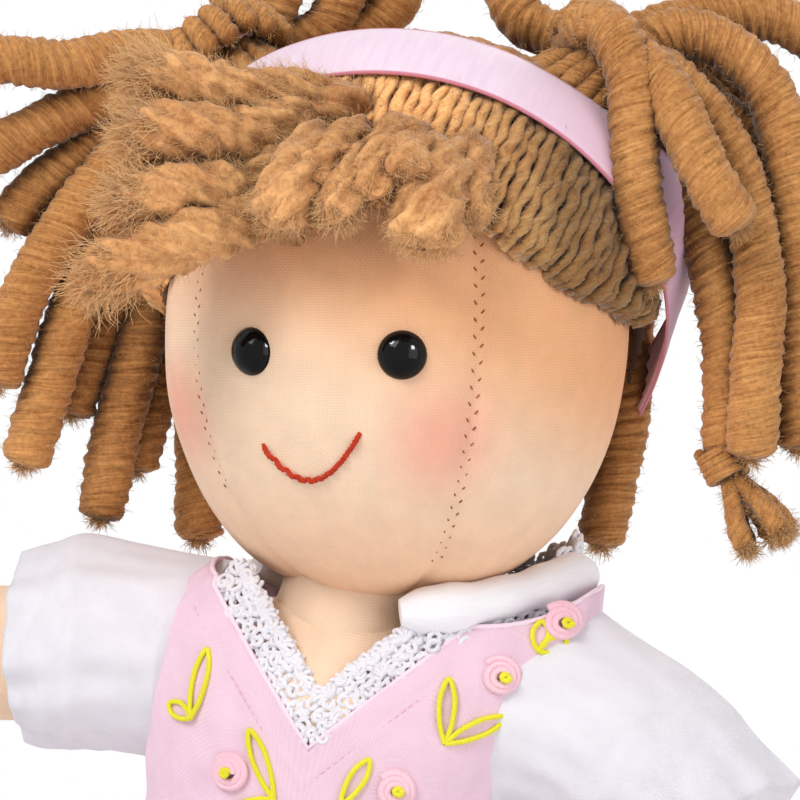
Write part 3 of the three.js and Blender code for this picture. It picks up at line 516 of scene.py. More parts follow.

# %% Satin finish
# Satin is smooth and pale, with a soft sheen along it. Its woven edge is a thin rose line. A
# stretch on the doll's left, where the ribbon turns away from the light, has painted shade in a
# deeper rose, from one range to another in metres along the ribbon.
RIBBON_HALF = 7.5
EDGE_START, EDGE_FULL = 0.91 * RIBBON_HALF * MM, 0.95 * RIBBON_HALF * MM
SATIN_SHADE_START, SATIN_SHADE_END = (0.02, 0.062), (0.085, 0.135)
SATIN_GLOSS = (0.42, 0.58)
satin, satin_tree, satin_shader = new_material(
    "satin ribbon", Anisotropic=0.4, Sheen_Weight=0.2, Sheen_Roughness=0.4, Specular_IOR_Level=0.25)
satin_map = put(satin_tree, "TexCoord").outputs["UV"]
satin_axes = put(satin_tree, "SeparateXYZ", Vector=satin_map).outputs
edge = span(satin_tree, calc(satin_tree, "ABSOLUTE", satin_axes["Y"]), EDGE_START, EDGE_FULL)
drawn = put(satin_tree, "VectorMath", "MULTIPLY", i0=satin_map, i1=(1.0, 0.12, 1.0)).outputs[0]
lustre = speckle(satin_tree, drawn, 900.0, 3.0)
satin_tree.links.new(span(satin_tree, lustre, 0, 1, *SATIN_GLOSS), satin_shader.inputs["Roughness"])
# Painted shade where the ribbon turns away on the doll's left: a deeper rose between these two ranges.
shade_rising = span(satin_tree, satin_axes["X"], *SATIN_SHADE_START)
shade_falling = span(satin_tree, satin_axes["X"], *SATIN_SHADE_END, 1.0, 0.0)
satin_shade = calc(satin_tree, "MULTIPLY", shade_rising, shade_falling)
pale_and_shaded_satin = mix_colours(satin_tree, satin_shade, colour(246, 230, 242), colour(230, 172, 194))
woven = mix_colours(satin_tree, lustre, colour(232, 200, 220), pale_and_shaded_satin)
satin_colour = mix_colours(satin_tree, edge, woven, colour(222, 138, 156))
satin_tree.links.new(satin_colour, satin_shader.inputs["Base Color"])
add_bump(satin_tree, satin_shader, lustre, 0.08, CLOTH_BUMP)
print("satin ribbon")

# %% [markdown]
# ## Ways of making a piece
# Most pieces start as a sphere, a spun outline or a grid of cloth that is bent to its place.
# Ropes, threads and lace are swept along lines. All of them end in one function that carries
# the mesh to the frame and ties it to the body that it moves with.

# %% Mesh helpers
def smooth_line(points, count):
    """Points spread along a smooth line through the given ones."""
    points = [Vector(point) for point in points]
    knots = [2 * points[0] - points[1], *points, 2 * points[-1] - points[-2]]
    line = []
    for i in range(count + 1):
        along = i / count * (len(points) - 1)
        k = min(int(along), len(points) - 2)
        t = along - k
        a, b, c, d = knots[k:k + 4]
        line.append(0.5 * (2 * b + (c - a) * t + (2 * a - 5 * b + 4 * c - d) * t ** 2
                           + (3 * b - a - 3 * c + d) * t ** 3))
    return line


def smooth_step(low, high, value):
    """0 below the low end, 1 above the high end, and a soft rise between."""
    t = min(1, max(0, (value - low) / (high - low)))
    return t * t * (3 - 2 * t)


def search(low, high, steps, too_low):
    """Halves a range again and again, and gives the middle of the last one."""
    for _ in range(steps):
        middle = (low + high) / 2
        if too_low(middle):
            low = middle
        else:
            high = middle
    return middle


def between(rows, value):
    """The other numbers of a table at a value of its first number, along straight lines."""
    for low, high in zip(rows, rows[1:]):
        if value <= high[0] or high is rows[-1]:
            share = (value - low[0]) / (high[0] - low[0])
            return [a + (b - a) * share for a, b in zip(low[1:], high[1:])]


def moved(bm, matrix):
    """Carries a mesh by a matrix."""
    bmesh.ops.transform(bm, matrix=matrix, verts=bm.verts)
    return bm


def turned(outline, steps):
    """Spins [radius, height] points round the upright axis, and maps the cloth round it."""
    bm = bmesh.new()
    corners = [bm.verts.new((radius, 0, height)) for radius, height in outline]
    sides = [bm.edges.new(pair) for pair in zip(corners, corners[1:])]
    bmesh.ops.spin(bm, geom=corners + sides, cent=(0, 0, 0), axis=(0, 0, 1), angle=2 * math.pi,
                   steps=steps, use_merge=True)
    bmesh.ops.remove_doubles(bm, verts=bm.verts, dist=1e-4)
    bmesh.ops.recalc_face_normals(bm, faces=bm.faces)
    wrap_map(bm, max(radius for radius, _ in outline))
    return bm


def wrap_map(bm, radius):
    """A cloth map in metres, wrapped round the upright axis."""
    layer = bm.loops.layers.uv.verify()
    for face in bm.faces:
        middle = face.calc_center_median()
        facing = math.atan2(middle.y, middle.x)
        for loop in face.loops:
            corner = loop.vert.co
            turn = math.remainder(math.atan2(corner.y, corner.x) - facing, 2 * math.pi)
            loop[layer].uv = ((facing + turn) * radius * MM, corner.z * MM)


def bent_cloth(columns, rows, width, length, place, closed=True):
    """A flat grid of cloth, mapped in metres, whose points are put in place one by one. A closed
    cloth goes all the way round, so its two ends are joined."""
    bm = bmesh.new()
    bmesh.ops.create_grid(bm, x_segments=columns, y_segments=rows, size=0.5)
    layer = bm.loops.layers.uv.verify()
    for face in bm.faces:
        for loop in face.loops:
            across, along = loop.vert.co.x + 0.5, loop.vert.co.y + 0.5
            loop[layer].uv = ((across - 0.5) * width * MM, (along - 0.5) * length * MM)
    for vert in bm.verts:
        vert.co = place(vert.co.x + 0.5, vert.co.y + 0.5)
    if closed:
        bmesh.ops.remove_doubles(bm, verts=bm.verts, dist=1e-3)
    bmesh.ops.recalc_face_normals(bm, faces=bm.faces)
    return bm


def make_piece(name, bm, material, body=None, stands_for=()):
    """Carries a mesh to the frame, ties it to its body and finish, and hides the CAD nodes that it stands
    for.
    """
    moved(bm, DOLL @ HEAD_POSE if body in ON_HEAD else DOLL)
    mesh = bpy.data.meshes.new(name)
    bm.to_mesh(mesh)
    bm.free()
    mesh.shade_smooth()
    mesh.materials.append(material)
    piece = bpy.data.objects.new(name, mesh)
    scene.collection.objects.link(piece)
    if body:
        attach(piece, body)
    if stands_for:
        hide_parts(*stands_for)
    print(name, len(mesh.polygons), "faces")
    return piece


def thicken(piece, thickness, offset=0.0):
    """Gives a sheet its thickness, in millimetres."""
    wall = piece.modifiers.new("wall", "SOLIDIFY")
    wall.thickness = thickness * MM
    wall.offset = offset


print("mesh helpers ready")

# %% Sweeping ropes and threads
def lobed_section(name, lobes, depth, sides):
    """The cross-section of a rope with a number of strands, one unit in radius."""
    data = bpy.data.curves.new(name, "CURVE")
    outline = data.splines.new("POLY")
    outline.points.add(sides - 1)
    for i, point in enumerate(outline.points):
        angle = 2 * math.pi * i / sides
        radius = 1 + depth * math.cos(lobes * angle)
        point.co = (radius * math.cos(angle), radius * math.sin(angle), 0, 1)
    outline.use_cyclic_u = True
    return bpy.data.objects.new(name, data)


def sweep(lines, section, bm=None):
    """A mesh with one rope for each line of (point, radius, twist) stations, or a mesh with them added."""
    data = bpy.data.curves.new("ropes", "CURVE")
    data.dimensions = "3D"
    data.bevel_mode = "OBJECT"
    data.bevel_object = section
    data.use_fill_caps = True
    for line in lines:
        spline = data.splines.new("POLY")
        spline.points.add(len(line) - 1)
        for station, (point, radius, twist) in zip(spline.points, line):
            station.co = (*point, 1)
            station.radius = radius
            station.tilt = twist
    ropes = bpy.data.objects.new("ropes", data)
    scene.collection.objects.link(section)
    scene.collection.objects.link(ropes)
    depsgraph = bpy.context.evaluated_depsgraph_get()
    mesh = bpy.data.meshes.new_from_object(ropes.evaluated_get(depsgraph), depsgraph=depsgraph)
    bm = bmesh.new() if bm is None else bm
    bm.from_mesh(mesh)
    scene.collection.objects.unlink(section)
    bpy.data.objects.remove(ropes)
    bpy.data.curves.remove(data)
    bpy.data.meshes.remove(mesh)
    return bm


def rope_line(points, radius, pitch, spacing, phase=0.0):
    """Stations along a smooth path, twisted once in each pitch."""
    rough = smooth_line(points, 40)
    length = sum((b - a).length for a, b in zip(rough, rough[1:]))
    path = smooth_line(points, max(4, round(length / spacing)))
    line, twist = [], phase
    for i, point in enumerate(path):
        if i:
            twist += 2 * math.pi * (point - path[i - 1]).length / pitch
        line.append((point, radius, twist))
    return line


ROUND_SECTION = lobed_section("round section", 1, 0.0, 8)
FIBRE_SECTION = lobed_section("fibre section", 1, 0.0, 3)
PLY_SECTION = lobed_section("two ply section", 2, 0.2, 10)
STRAND_SECTION = lobed_section("three strand section", 3, 0.16, 12)
LOCK_SECTION = lobed_section("three rib section", 3, 0.036, 18)
CLUMP_SECTION = lobed_section("clump of strands section", 6, 0.11, 36)
# The angles round one small closed loop of thread.
LOOP_TURNS = [2 * math.pi * i / 10 for i in range(11)]
print("rope sections ready")

# %% [markdown]
# ## Head
# The head is a full egg of cotton, stuffed tight, sewn from a face panel, two side panels and
# a back. A sphere takes that shape, and its points are drawn in along the seams and round the
# eyes, as thread and filling do on the real head. A cloth simulation would only blur them.

# %% Head shape
HEAD_HALF = Vector((44, 42, 51))
HEAD_FULLNESS = 0.85
FACE_SEAMS, BACK_SEAMS = (38, -42), (105, -105)
SEAM_SHAPES = [(0.9, 1.3), (0.8, 7)]
HEAD_LIFT, HEAD_WAVE, HEAD_WAVE_SIZE = 0.5, 0.35, 15
EYE_DIMPLE, DIMPLE_SIZE, EYE_FLATNESS = 1.5, 5.5, 0.86
EYE_LONGITUDE, EYE_LATITUDE, EYE_RADIUS, EYE_STANDS_OUT = 19.5, -6.3, 4.6, 3.2


def head_point(longitude, latitude, lift=0.0):
    """A point of the head by longitude and latitude in degrees, lifted off its cloth."""
    turn, level = math.radians(longitude), math.radians(latitude)
    reach = max(math.cos(level), 0) ** HEAD_FULLNESS
    return Vector((
        (HEAD_HALF.x + lift) * reach * math.sin(turn),
        -(HEAD_HALF.y + lift) * reach * math.cos(turn),
        HEAD_Z + (HEAD_HALF.z + lift) * math.sin(level)))


def head_along(direction, lift=0.0):
    """The same point, by a direction from the middle of the head."""
    level = math.degrees(math.asin(max(-1, min(1, direction.z))))
    return head_point(math.degrees(math.atan2(direction.x, -direction.y)), level, lift)


def seam_depth(longitude, latitude):
    """How far the seams draw the cloth in at a place on the head, each by a crease in a wider hollow."""
    depth = 0.0
    for seam in FACE_SEAMS + BACK_SEAMS:
        across = math.radians(math.remainder(longitude - seam, 360)) * math.cos(math.radians(latitude))
        for deep, wide in SEAM_SHAPES:
            depth += deep * math.exp(-(across * HEAD_HALF.x / wide) ** 2)
    return depth


eye_spots = {name: head_point(side * EYE_LONGITUDE, EYE_LATITUDE, EYE_STANDS_OUT - EYE_RADIUS)
             for name, side in SIDES.items()}
head = bmesh.new()
bmesh.ops.create_uvsphere(head, u_segments=192, v_segments=96, radius=1, calc_uvs=False)
head_layer = head.loops.layers.uv.verify()
wrap_map(head, HEAD_HALF.x)
for face in head.faces:
    for loop in face.loops:
        loop[head_layer].uv.y = math.asin(max(-1, min(1, loop.vert.co.z))) * HEAD_HALF.z * MM
for vert in head.verts:
    longitude = math.degrees(math.atan2(vert.co.x, -vert.co.y))
    latitude = math.degrees(math.asin(max(-1, min(1, vert.co.z))))
    spot = head_point(longitude, latitude)
    lift = HEAD_LIFT - seam_depth(longitude, latitude) + HEAD_WAVE * noise.noise(spot / HEAD_WAVE_SIZE)
    for eye in eye_spots.values():
        lift -= EYE_DIMPLE * math.exp(-((spot - eye).length / DIMPLE_SIZE) ** 2)
    vert.co = head_point(longitude, latitude, lift)
head_piece = make_piece("head_cover", head, face_cotton, "head", [
    "head_stuffing", "face_panel", "head_side_panel_left", "head_side_panel_right", "head_back_panel"])

# %% Seam stitches
def add_stitch(bm, start, end, radius):
    """One short stitch of thread between two points."""
    along = end - start
    size = Matrix.Diagonal((radius, radius, along.length / 2 + radius, 1))
    place = Matrix.Translation((start + end) / 2) @ aimed(along) @ size
    bmesh.ops.create_uvsphere(bm, u_segments=6, v_segments=4, radius=1, matrix=place)


SEAM_STITCHES, SEAM_STEP = 56, 1.75
STITCH_OFFSET, STITCH_LEAN, STITCH_HALF, STITCH_LIFT = 1.0, 0.3, 0.3, 0.55
seams = bmesh.new()
for seam, lowest, thick in zip(FACE_SEAMS, (-58, -37), (0.2, 0.14)):
    for i in range(SEAM_STITCHES):
        latitude = lowest + SEAM_STEP * i
        side = 1 if i % 2 else -1
        longitude = seam + side * STITCH_OFFSET / math.cos(math.radians(latitude))
        lean = side * STITCH_LEAN
        lift = STITCH_LIFT - seam_depth(longitude, latitude)
        add_stitch(seams, head_point(longitude - lean, latitude - STITCH_HALF, lift),
                   head_point(longitude + lean, latitude + STITCH_HALF, lift), thick)
make_piece("head_seam_stitches", seams, seam_thread, "head")

# %% Eyes
for name, spot in eye_spots.items():
    bead = bmesh.new()
    bmesh.ops.create_uvsphere(bead, u_segments=40, v_segments=24, radius=EYE_RADIUS)
    outward = (spot - HEAD_CENTRE).normalized()
    moved(bead, Matrix.Translation(spot) @ aimed(outward) @ Matrix.Diagonal((1, 1, EYE_FLATNESS, 1)))
    eye_piece = make_piece(f"bead_eye_{name}", bead, black_bead, "head", [f"eye_{name}"])
    bead_eyes.objects.link(eye_piece)

# %% Smile
# The mouth is back-stitched: short stitches laid end to end along a curve, a little crooked.
SMILE_HALF, SMILE_MIDDLE, SMILE_END, SMILE_LOW = 13.5, -4.2, -24.5, -33.5
SMILE_CROOKED = 1.3
SMILE_STITCHES = 9
SMILE_LIFTS = (0.1, 0.75, 0.95, 0.75, 0.1)


def smile_point(share, lift):
    """A point of the mouth line, with the share from -1 to 1."""
    rise = (SMILE_END - SMILE_LOW) * share ** 2 + SMILE_CROOKED * share
    return head_point(SMILE_MIDDLE + share * SMILE_HALF, SMILE_LOW + rise, lift)


stitches = []
for i in range(SMILE_STITCHES):
    first, last = 2 * i / SMILE_STITCHES - 1, 2 * (i + 1.12) / SMILE_STITCHES - 1
    shares = [first + (last - first) * k / 4 for k in range(5)]
    points = [smile_point(share, lift) for share, lift in zip(shares, SMILE_LIFTS)]
    stitches.append(rope_line(points, 0.5, 2.4, 0.4))
smile = sweep(stitches, STRAND_SECTION)
make_piece("smile_thread", smile, mouth_thread, "head", ["smile_stitch"])

# %% [markdown]
# ## Hair on the head
# The wig is yarn laid side by side. In front of the ribbon it runs from the brow back under
# the satin. Behind the ribbon it is drawn from every side to the two pigtails. A thin woollen
# cap underneath closes the gaps, and each yarn is a swept rope of two twisted plies.

# %% Hairline and ribbon planes
HAIR_LIFT = 4.6
YARN_RADIUS, YARN_PITCH, YARN_SPACING = 1.32, 12, 0.85
RIBBON_TILT = math.radians(50)
RIBBON_AXIS = Vector((0, math.sin(RIBBON_TILT), math.cos(RIBBON_TILT)))
RIBBON_FRONT = Vector((0, -math.cos(RIBBON_TILT), math.sin(RIBBON_TILT)))
RIBBON_FROM_CENTRE, RIBBON_SKEW = 12.4, 0.1
BROW_HEIGHTS = [(0, 31), (34, 23), (43, 16.5), (59, 9), (72, 5.8), (87, 3), (180, 3)]
NAPE_START, NAPE_HEIGHT, NAPE_SLOPE = 12, 4, math.tan(math.radians(50))
PIGTAIL_LONGITUDE, PIGTAIL_LATITUDE, PIGTAIL_LIFT, SEAT_HEIGHT = 100, 50, 6, 5.5
CAP_LIFT, CAP_MARGIN = 3.4, 1.5


def above_hairline(point, margin=0.0):
    """True where hair grows: over the brow's line, which drops toward the ears, or the nape's plane."""
    longitude = abs(math.degrees(math.atan2(point.x, -point.y)))
    brow = between(BROW_HEIGHTS, longitude)[0]
    nape = NAPE_HEIGHT - NAPE_SLOPE * (point.y - NAPE_START)
    return point.z > HEAD_Z + min(brow, nape) + margin


def ribbon_place(point):
    """How far a point lies along the ribbon's axis. The ribbon sits a little askew."""
    return (point - HEAD_CENTRE).dot(RIBBON_AXIS) - RIBBON_SKEW * max(point.x, -15)


def ribbon_spoke(around):
    """The direction out from the ribbon's axis at an angle round the head, from the front to the left."""
    return math.cos(around) * RIBBON_FRONT + math.sin(around) * Vector((1, 0, 0))


def pigtail_seat(side):
    """Where a pigtail leaves the hair, and the way that it points."""
    spot = (side * PIGTAIL_LONGITUDE, PIGTAIL_LATITUDE)
    foot = head_point(*spot, PIGTAIL_LIFT)
    outward = (head_point(*spot, PIGTAIL_LIFT + 1) - foot).normalized()
    return foot + SEAT_HEIGHT * outward, outward


cap = bmesh.new()
bmesh.ops.create_uvsphere(cap, u_segments=96, v_segments=64, radius=1)
for vert in cap.verts:
    vert.co = head_along(vert.co.normalized(), CAP_LIFT)
bare = [vert for vert in cap.verts if not above_hairline(vert.co, CAP_MARGIN)]
bmesh.ops.delete(cap, geom=bare, context="VERTS")
make_piece("hair_cap_base", cap, yarn_wool, "head")

# %% Yarns in front of the ribbon
draw = random.Random(11)
front_lines = []
FRONT_YARNS, FRONT_SPREAD = 92, 112
FRONT_FROM, FRONT_STEP, FRONT_STEPS = 62, 1.2, 70
UNDER_RIBBON = 5
for i in range(FRONT_YARNS):
    around = math.radians(FRONT_SPREAD * (2 * i / (FRONT_YARNS - 1) - 1))
    spoke = ribbon_spoke(around)
    lift = HAIR_LIFT + draw.uniform(-0.3, 0.3)
    points = []
    for k in range(FRONT_STEPS):
        polar = math.radians(FRONT_FROM + FRONT_STEP * k)
        direction = math.cos(polar) * RIBBON_AXIS + math.sin(polar) * spoke
        point = head_along(direction, lift)
        in_front = ribbon_place(point) < RIBBON_FROM_CENTRE - UNDER_RIBBON
        if in_front and above_hairline(point, draw.uniform(-0.5, 0.5)):
            points.append(direction)
    if len(points) > 4:
        lifts = [lift] * (len(points) - 2) + [lift - 1.0, 1.0]
        line = [head_along(direction, height) for direction, height in zip(points, lifts)]
        line = [spot + 0.9 * noise.noise_vector(spot / 7 + Vector((i, 0, 0))) for spot in line]
        radius, pitch = YARN_RADIUS * draw.uniform(0.9, 1.15), YARN_PITCH * draw.uniform(0.85, 1.3)
        front_lines.append(rope_line(line, radius, pitch, YARN_SPACING, draw.uniform(0, 6)))
front_yarns = sweep(front_lines, PLY_SECTION)
make_piece("hair_cap_front_yarns", front_yarns, lit_cap_wool, "head", ["hair_cap"])

# %% Yarns behind the ribbon, drawn to the pigtails
BEARINGS = 84
BACK_FROM, BACK_STEP, BACK_STEPS, BACK_SPACING = 9, 2, 60, 1.2
ROOT_RISE, ROOT_RISE_STEPS = 1.6, 5
PARTING = -0.6
for name, side in SIDES.items():
    back_lines = []
    root = head_point(side * PIGTAIL_LONGITUDE, PIGTAIL_LATITUDE) - HEAD_CENTRE
    root = Vector((root.x / HEAD_HALF.x, root.y / HEAD_HALF.y, root.z / HEAD_HALF.z)).normalized()
    first = root.orthogonal().normalized()
    second = root.cross(first)
    for i in range(BEARINGS):
        bearing = 2 * math.pi * i / BEARINGS
        heading = math.cos(bearing) * first + math.sin(bearing) * second
        lift = HAIR_LIFT + draw.uniform(-0.25, 0.35)
        points = []
        for k in range(BACK_STEPS):
            away = math.radians(BACK_FROM + BACK_STEP * k)
            direction = math.cos(away) * root + math.sin(away) * heading
            point = head_along(direction, lift + ROOT_RISE * math.exp(-k / ROOT_RISE_STEPS))
            inside = above_hairline(point, -1) and ribbon_place(point) > RIBBON_FROM_CENTRE + UNDER_RIBBON
            if not inside or side * point.x < PARTING:
                break
            points.append(point)
        if len(points) > 3:
            back_lines.append(rope_line(points, YARN_RADIUS, YARN_PITCH, BACK_SPACING, draw.uniform(0, 6)))
    back_yarns = sweep(back_lines, PLY_SECTION)
    make_piece(f"hair_cap_{name}_yarns", back_yarns, yarn_wool, "head")

# %% [markdown]
# ## Ribbon
# A satin ribbon goes round the head over the hair, wide on top and gathered narrower behind
# the ears. It is one strip of cloth, bent round the head and held tight.

# %% Ribbon
def ribbon_point(around, across, lift):
    """A point of the ribbon: the angle round the head and the distance from its middle line."""
    def at(polar):
        return head_along(math.cos(polar) * RIBBON_AXIS + math.sin(polar) * ribbon_spoke(around), lift)
    goal = RIBBON_FROM_CENTRE + across
    return at(search(0.0, math.pi, 24, lambda polar: ribbon_place(at(polar)) > goal))


def ribbon_cloth(u, v):
    """The ribbon's strip: u goes round, v across. It narrows behind the ears and ripples a little,
    and stands off where it drops past the temples, most along its rear edge."""
    around = 2 * math.pi * (u - 0.5)
    aside = abs(math.degrees(around))
    narrow = 1 - 0.42 * smooth_step(84, 118, aside)
    ripple = 0.25 * math.sin(3 * around) + 0.5 * smooth_step(80, 120, aside) * math.cos(9 * math.pi * v)
    crown = 0.5 * math.cos(math.pi * (v - 0.5))
    lean = 1.3 * v * max(0, math.cos(around))
    slack = 5.5 * math.exp(-((aside - 80) / 24) ** 2) * (1 + 0.8 * (2 * v - 1))
    lift = RIBBON_LIFT + ripple + crown + lean + slack
    return ribbon_point(around, (2 * v - 1) * RIBBON_HALF * narrow, lift)


RIBBON_LENGTH, RIBBON_LIFT = 300, 6.5
ribbon = bent_cloth(180, 10, RIBBON_LENGTH, 2 * RIBBON_HALF, ribbon_cloth)
ribbon_piece = make_piece("headband_ribbon", ribbon, satin, "head", ["headband"])
thicken(ribbon_piece, 0.5)

# %% [markdown]
# ## Locks
# The locks are thick soft yarn with low ribs that run nearly across it, cut blunt at the end. A
# section with three low lobes, turned quickly as it goes, shows those ribs. Loose fibres stand
# off the wool everywhere and bush out at the cut ends, so they are thin curling hairs.

# %% Fibres
LOCK_RADIUS, LOCK_PITCH, LOCK_SPACING = 4.8, 7.8, 0.55
FIBRE_RADIUS, FRAY_THICKER = 0.055, 1.5


def any_way(chance):
    """A random direction."""
    while True:
        way = Vector((chance.uniform(-1, 1), chance.uniform(-1, 1), chance.uniform(-1, 1)))
        if 0.1 < way.length < 1:
            return way.normalized()


def wisp(start, way, length, chance):
    """One loose fibre that curls away and thins out."""
    line = [(start, FIBRE_RADIUS, 0)]
    for share in (0.9, 0.7, 0.4):
        way = (way + 0.6 * any_way(chance)).normalized()
        line.append((line[-1][0] + way * length / 3, FIBRE_RADIUS * share, 0))
    return line


def lock_fuzz(line, chance, per_station, length=1.7, combed=0.0):
    """Short fibres that stand off a lock all along it. Combed ones lie toward its end."""
    fibres = []
    for (point, radius, _), (after, _, _) in zip(line, line[1:]):
        along = (after - point).normalized()
        for _ in range(int(per_station + chance.random())):
            way = any_way(chance)
            out = (way - way.dot(along) * along).normalized()
            leaning = (1 - combed) * 1.1 * chance.uniform(-1, 1) + combed * chance.uniform(0.4, 1.6)
            heading = ((1 - 0.6 * combed) * out + leaning * along).normalized()
            start = point + 0.93 * radius * out
            fibres.append(wisp(start, heading, length * chance.uniform(0.5, 1.3), chance))
    return fibres


def lock_fray(line, chance, count, length, spread=0.8, reach=0):
    """The bush of fibres at a lock's cut end. With a reach, it starts from that many last stations."""
    fibres = []
    for _ in range(count):
        last = -1 - (chance.randrange(reach) if reach else 0)
        (before, _, _), (end, radius, _) = line[last - 3], line[last]
        along = (end - before).normalized()
        way = any_way(chance)
        out = way - way.dot(along) * along
        start = end - chance.uniform(0.2, 2.2) * along + 0.95 * radius * out
        heading = (along + spread * out + 0.3 * any_way(chance)).normalized()
        fibre = wisp(start, heading, length * chance.uniform(0.4, 1.2), chance)
        fibres.append([(point, FRAY_THICKER * size, twist) for point, size, twist in fibre])
    return fibres


def ruffle(bm, depth, size):
    """Roughens wool: every point moves a little along its normal."""
    bm.normal_update()
    shifts = [depth * noise.noise(vert.co / size) * vert.normal for vert in bm.verts]
    for vert, shift in zip(bm.verts, shifts):
        vert.co += shift


print("fibres are", 2 * FIBRE_RADIUS, "mm thick")

# %% Locks
def lock_line(points, sizes=(LOCK_RADIUS, LOCK_RADIUS), phase=0.0, dome=4, pitch=LOCK_PITCH):
    """A lock along a path, from one radius to another, uneven as wool is and rounded at its cut."""
    line = rope_line(points, 1.0, pitch, LOCK_SPACING, phase)
    count = len(line) - 1
    soft = []
    for i, (point, _, twist) in enumerate(line):
        share = i / count
        uneven = 1 + 0.07 * noise.noise(point / 5) + 0.05 * noise.noise(point / 1.6)
        cut = math.sqrt(max(0.04, 1 - max(0, (i - count + dome) / dome) ** 2))
        sway = 0.5 * noise.noise_vector(point / 14)
        soft.append((point + sway, (sizes[0] + (sizes[1] - sizes[0]) * share) * uneven * cut, twist))
    return soft


def make_locks(name, lines, chance, body, stands_for, fuzz=(4.2,), fray=(225, 3.2), winding=(),
               rough=(0.35, 1.7), wools=(yarn_wool, yarn_fuzz, yarn_fuzz), section=LOCK_SECTION):
    """Locks with their fibres. The fibres are pieces of their own, in a paler wool."""
    locks = sweep(lines, section)
    ruffle(locks, *rough)
    if winding:
        sweep(winding, ROUND_SECTION, locks)
    make_piece(name, locks, wools[0], body, stands_for)
    standing = [fibre for line in lines for fibre in lock_fuzz(line, chance, *fuzz)]
    make_piece(f"{name}_fuzz", sweep(standing, FIBRE_SECTION), wools[1], body)
    frayed = [fibre for line in lines for fibre in lock_fray(line, chance, *fray)]
    make_piece(f"{name}_ends", sweep(frayed, FIBRE_SECTION), wools[2], body)


cap_fibres = [fibre for line in front_lines for fibre in lock_fuzz(line, draw, 2.6, 1.6)]
make_piece("hair_cap_front_fuzz", sweep(cap_fibres, FIBRE_SECTION), lit_cap_fuzz, "head")
print("locks are", 2 * LOCK_RADIUS, "mm thick")

# %% Pigtails
# Each lock runs from the tie through its points, in millimetres from the middle of the head.
PIGTAIL_PATHS = {
    "left": [
        [(31, 10, 52), (34, 2, 57), (40, -3, 57), (46, -6, 48), (47, -8, 36), (49, -7, 22), (51, -4, 9)],
        [(39, 6, 52), (46, -1, 51), (54, -6, 43), (61, -7, 30), (67, -4, 20)],
        [(46, 11, 57), (56, 14, 57), (66, 16, 49), (71, 15, 34), (72, 16, 18), (73, 17, -1), (74, 19, -20)],
        [(39, 11, 46), (48, 9, 39), (55, 10, 24), (60, 11, 6), (62, 12, -11), (62, 12, -26), (72, 13, -44)],
        [(39, 8, 50), (49, 8, 50), (62, 8, 34), (68, 8, 13), (68, 8, -5), (67, 9, -22)],
        [(35, 18, 55), (49, 24, 62), (65, 30, 63), (78, 35, 52), (84, 37, 29)],
        [(31, 18, 53), (24, 20, 58), (16, 20, 62), (13, 20, 70), (17, 21, 76)],
        [(46, 26, 56), (66, 38, 42), (80, 42, 8)],
        [(44, 24, 54), (66, 32, 26), (74, 30, -14)],
        [(46, 16, 50), (76, 22, 24), (86, 24, -14)]],
    "right": [
        [(-43, 1, 52), (-53, -10, 52), (-64, -19, 49), (-76, -27, 49), (-92, -33, 46)],
        [(-45, 1, 49), (-57, -9, 44), (-68, -16, 38), (-80, -22, 29), (-90, -27, 17)],
        [(-44, 2, 46), (-58, -6, 36), (-69, -12, 27), (-76, -14, 18)],
        [(-43, -3, 45), (-54, -10, 32), (-64, -15, 17), (-71, -18, 2), (-75, -19, -13)],
        [(-43, 1, 42), (-54, -5, 24), (-62, -10, 5), (-67, -12, -13), (-71, -13, -28)],
        [(-44, 7, 41), (-54, 4, 21), (-62, 1, -1), (-67, -2, -18)],
        [(-44, 10, 40), (-50, 6, 17), (-54, 2, -4), (-58, 1, -22), (-60, -1, -38)],
        [(-44, 14, 40), (-50, 13, 14), (-54, 11, -10), (-57, 8, -28)],
        [(-46, 18, 40), (-50, 23, 10), (-50, 24, -18), (-48, 22, -42)],
        [(-39, 10, 56), (-41, 12, 65), (-45, 13, 74)],
        [(-36, 12, 56), (-33, 16, 66), (-31, 19, 74)],
        [(-34, 15, 55), (-26, 22, 60), (-22, 25, 69), (-21, 26, 75)],
        [(-32, 20, 54), (-22, 28, 59), (-15, 33, 66), (-12, 35, 73)],
        [(-44, 18, 50), (-62, 30, 24), (-71, 32, -14)],
        [(-46, 16, 52), (-72, 26, 36), (-86, 30, 12)]],
}
KNOTTED_LOCK = ("left", 3)
KNOT_AT, KNOT_TURNS, KNOT_RADIUS, TUFT_LOCKS = 0.83, 4.5, 3.7, 8
TUFT_SPOTS = [(0, 0), (5, 2), (11, 5), (16, 6)]


def pigtail_line(side, spots, phase):
    """One lock, from inside the tie to its end."""
    return lock_line([pigtail_seat(side)[0]] + [HEAD_CENTRE + Vector(spot) for spot in spots], phase=phase)


def knotted_end(line, chance):
    """A lock tied off before its end: the shorter rope, the winding round it and the tuft below."""
    keep = round(KNOT_AT * len(line))
    knot, along = line[keep][0], (line[-1][0] - line[keep][0]).normalized()
    first = along.orthogonal().normalized()
    second = along.cross(first)
    drawn_in = [(point, radius * (1 - 0.3 * smooth_step(keep - 12, keep, i)), twist)
                for i, (point, radius, twist) in enumerate(line[:keep + 1])]
    winding = []
    for i in range(81):
        turn = 2 * math.pi * KNOT_TURNS * i / 80
        ring = math.cos(turn) * first + math.sin(turn) * second
        winding.append((knot + (6 * i / 80 - 4) * along + KNOT_RADIUS * ring, 1.0, 0))
    tuft = []
    for _ in range(TUFT_LOCKS):
        lean = any_way(chance)
        lean -= lean.dot(along) * along
        spots = [knot + down * along + out * lean for down, out in TUFT_SPOTS]
        tuft.append(lock_line(spots, (1.7, 2.1), chance.uniform(0, 6)))
    return drawn_in, winding, tuft


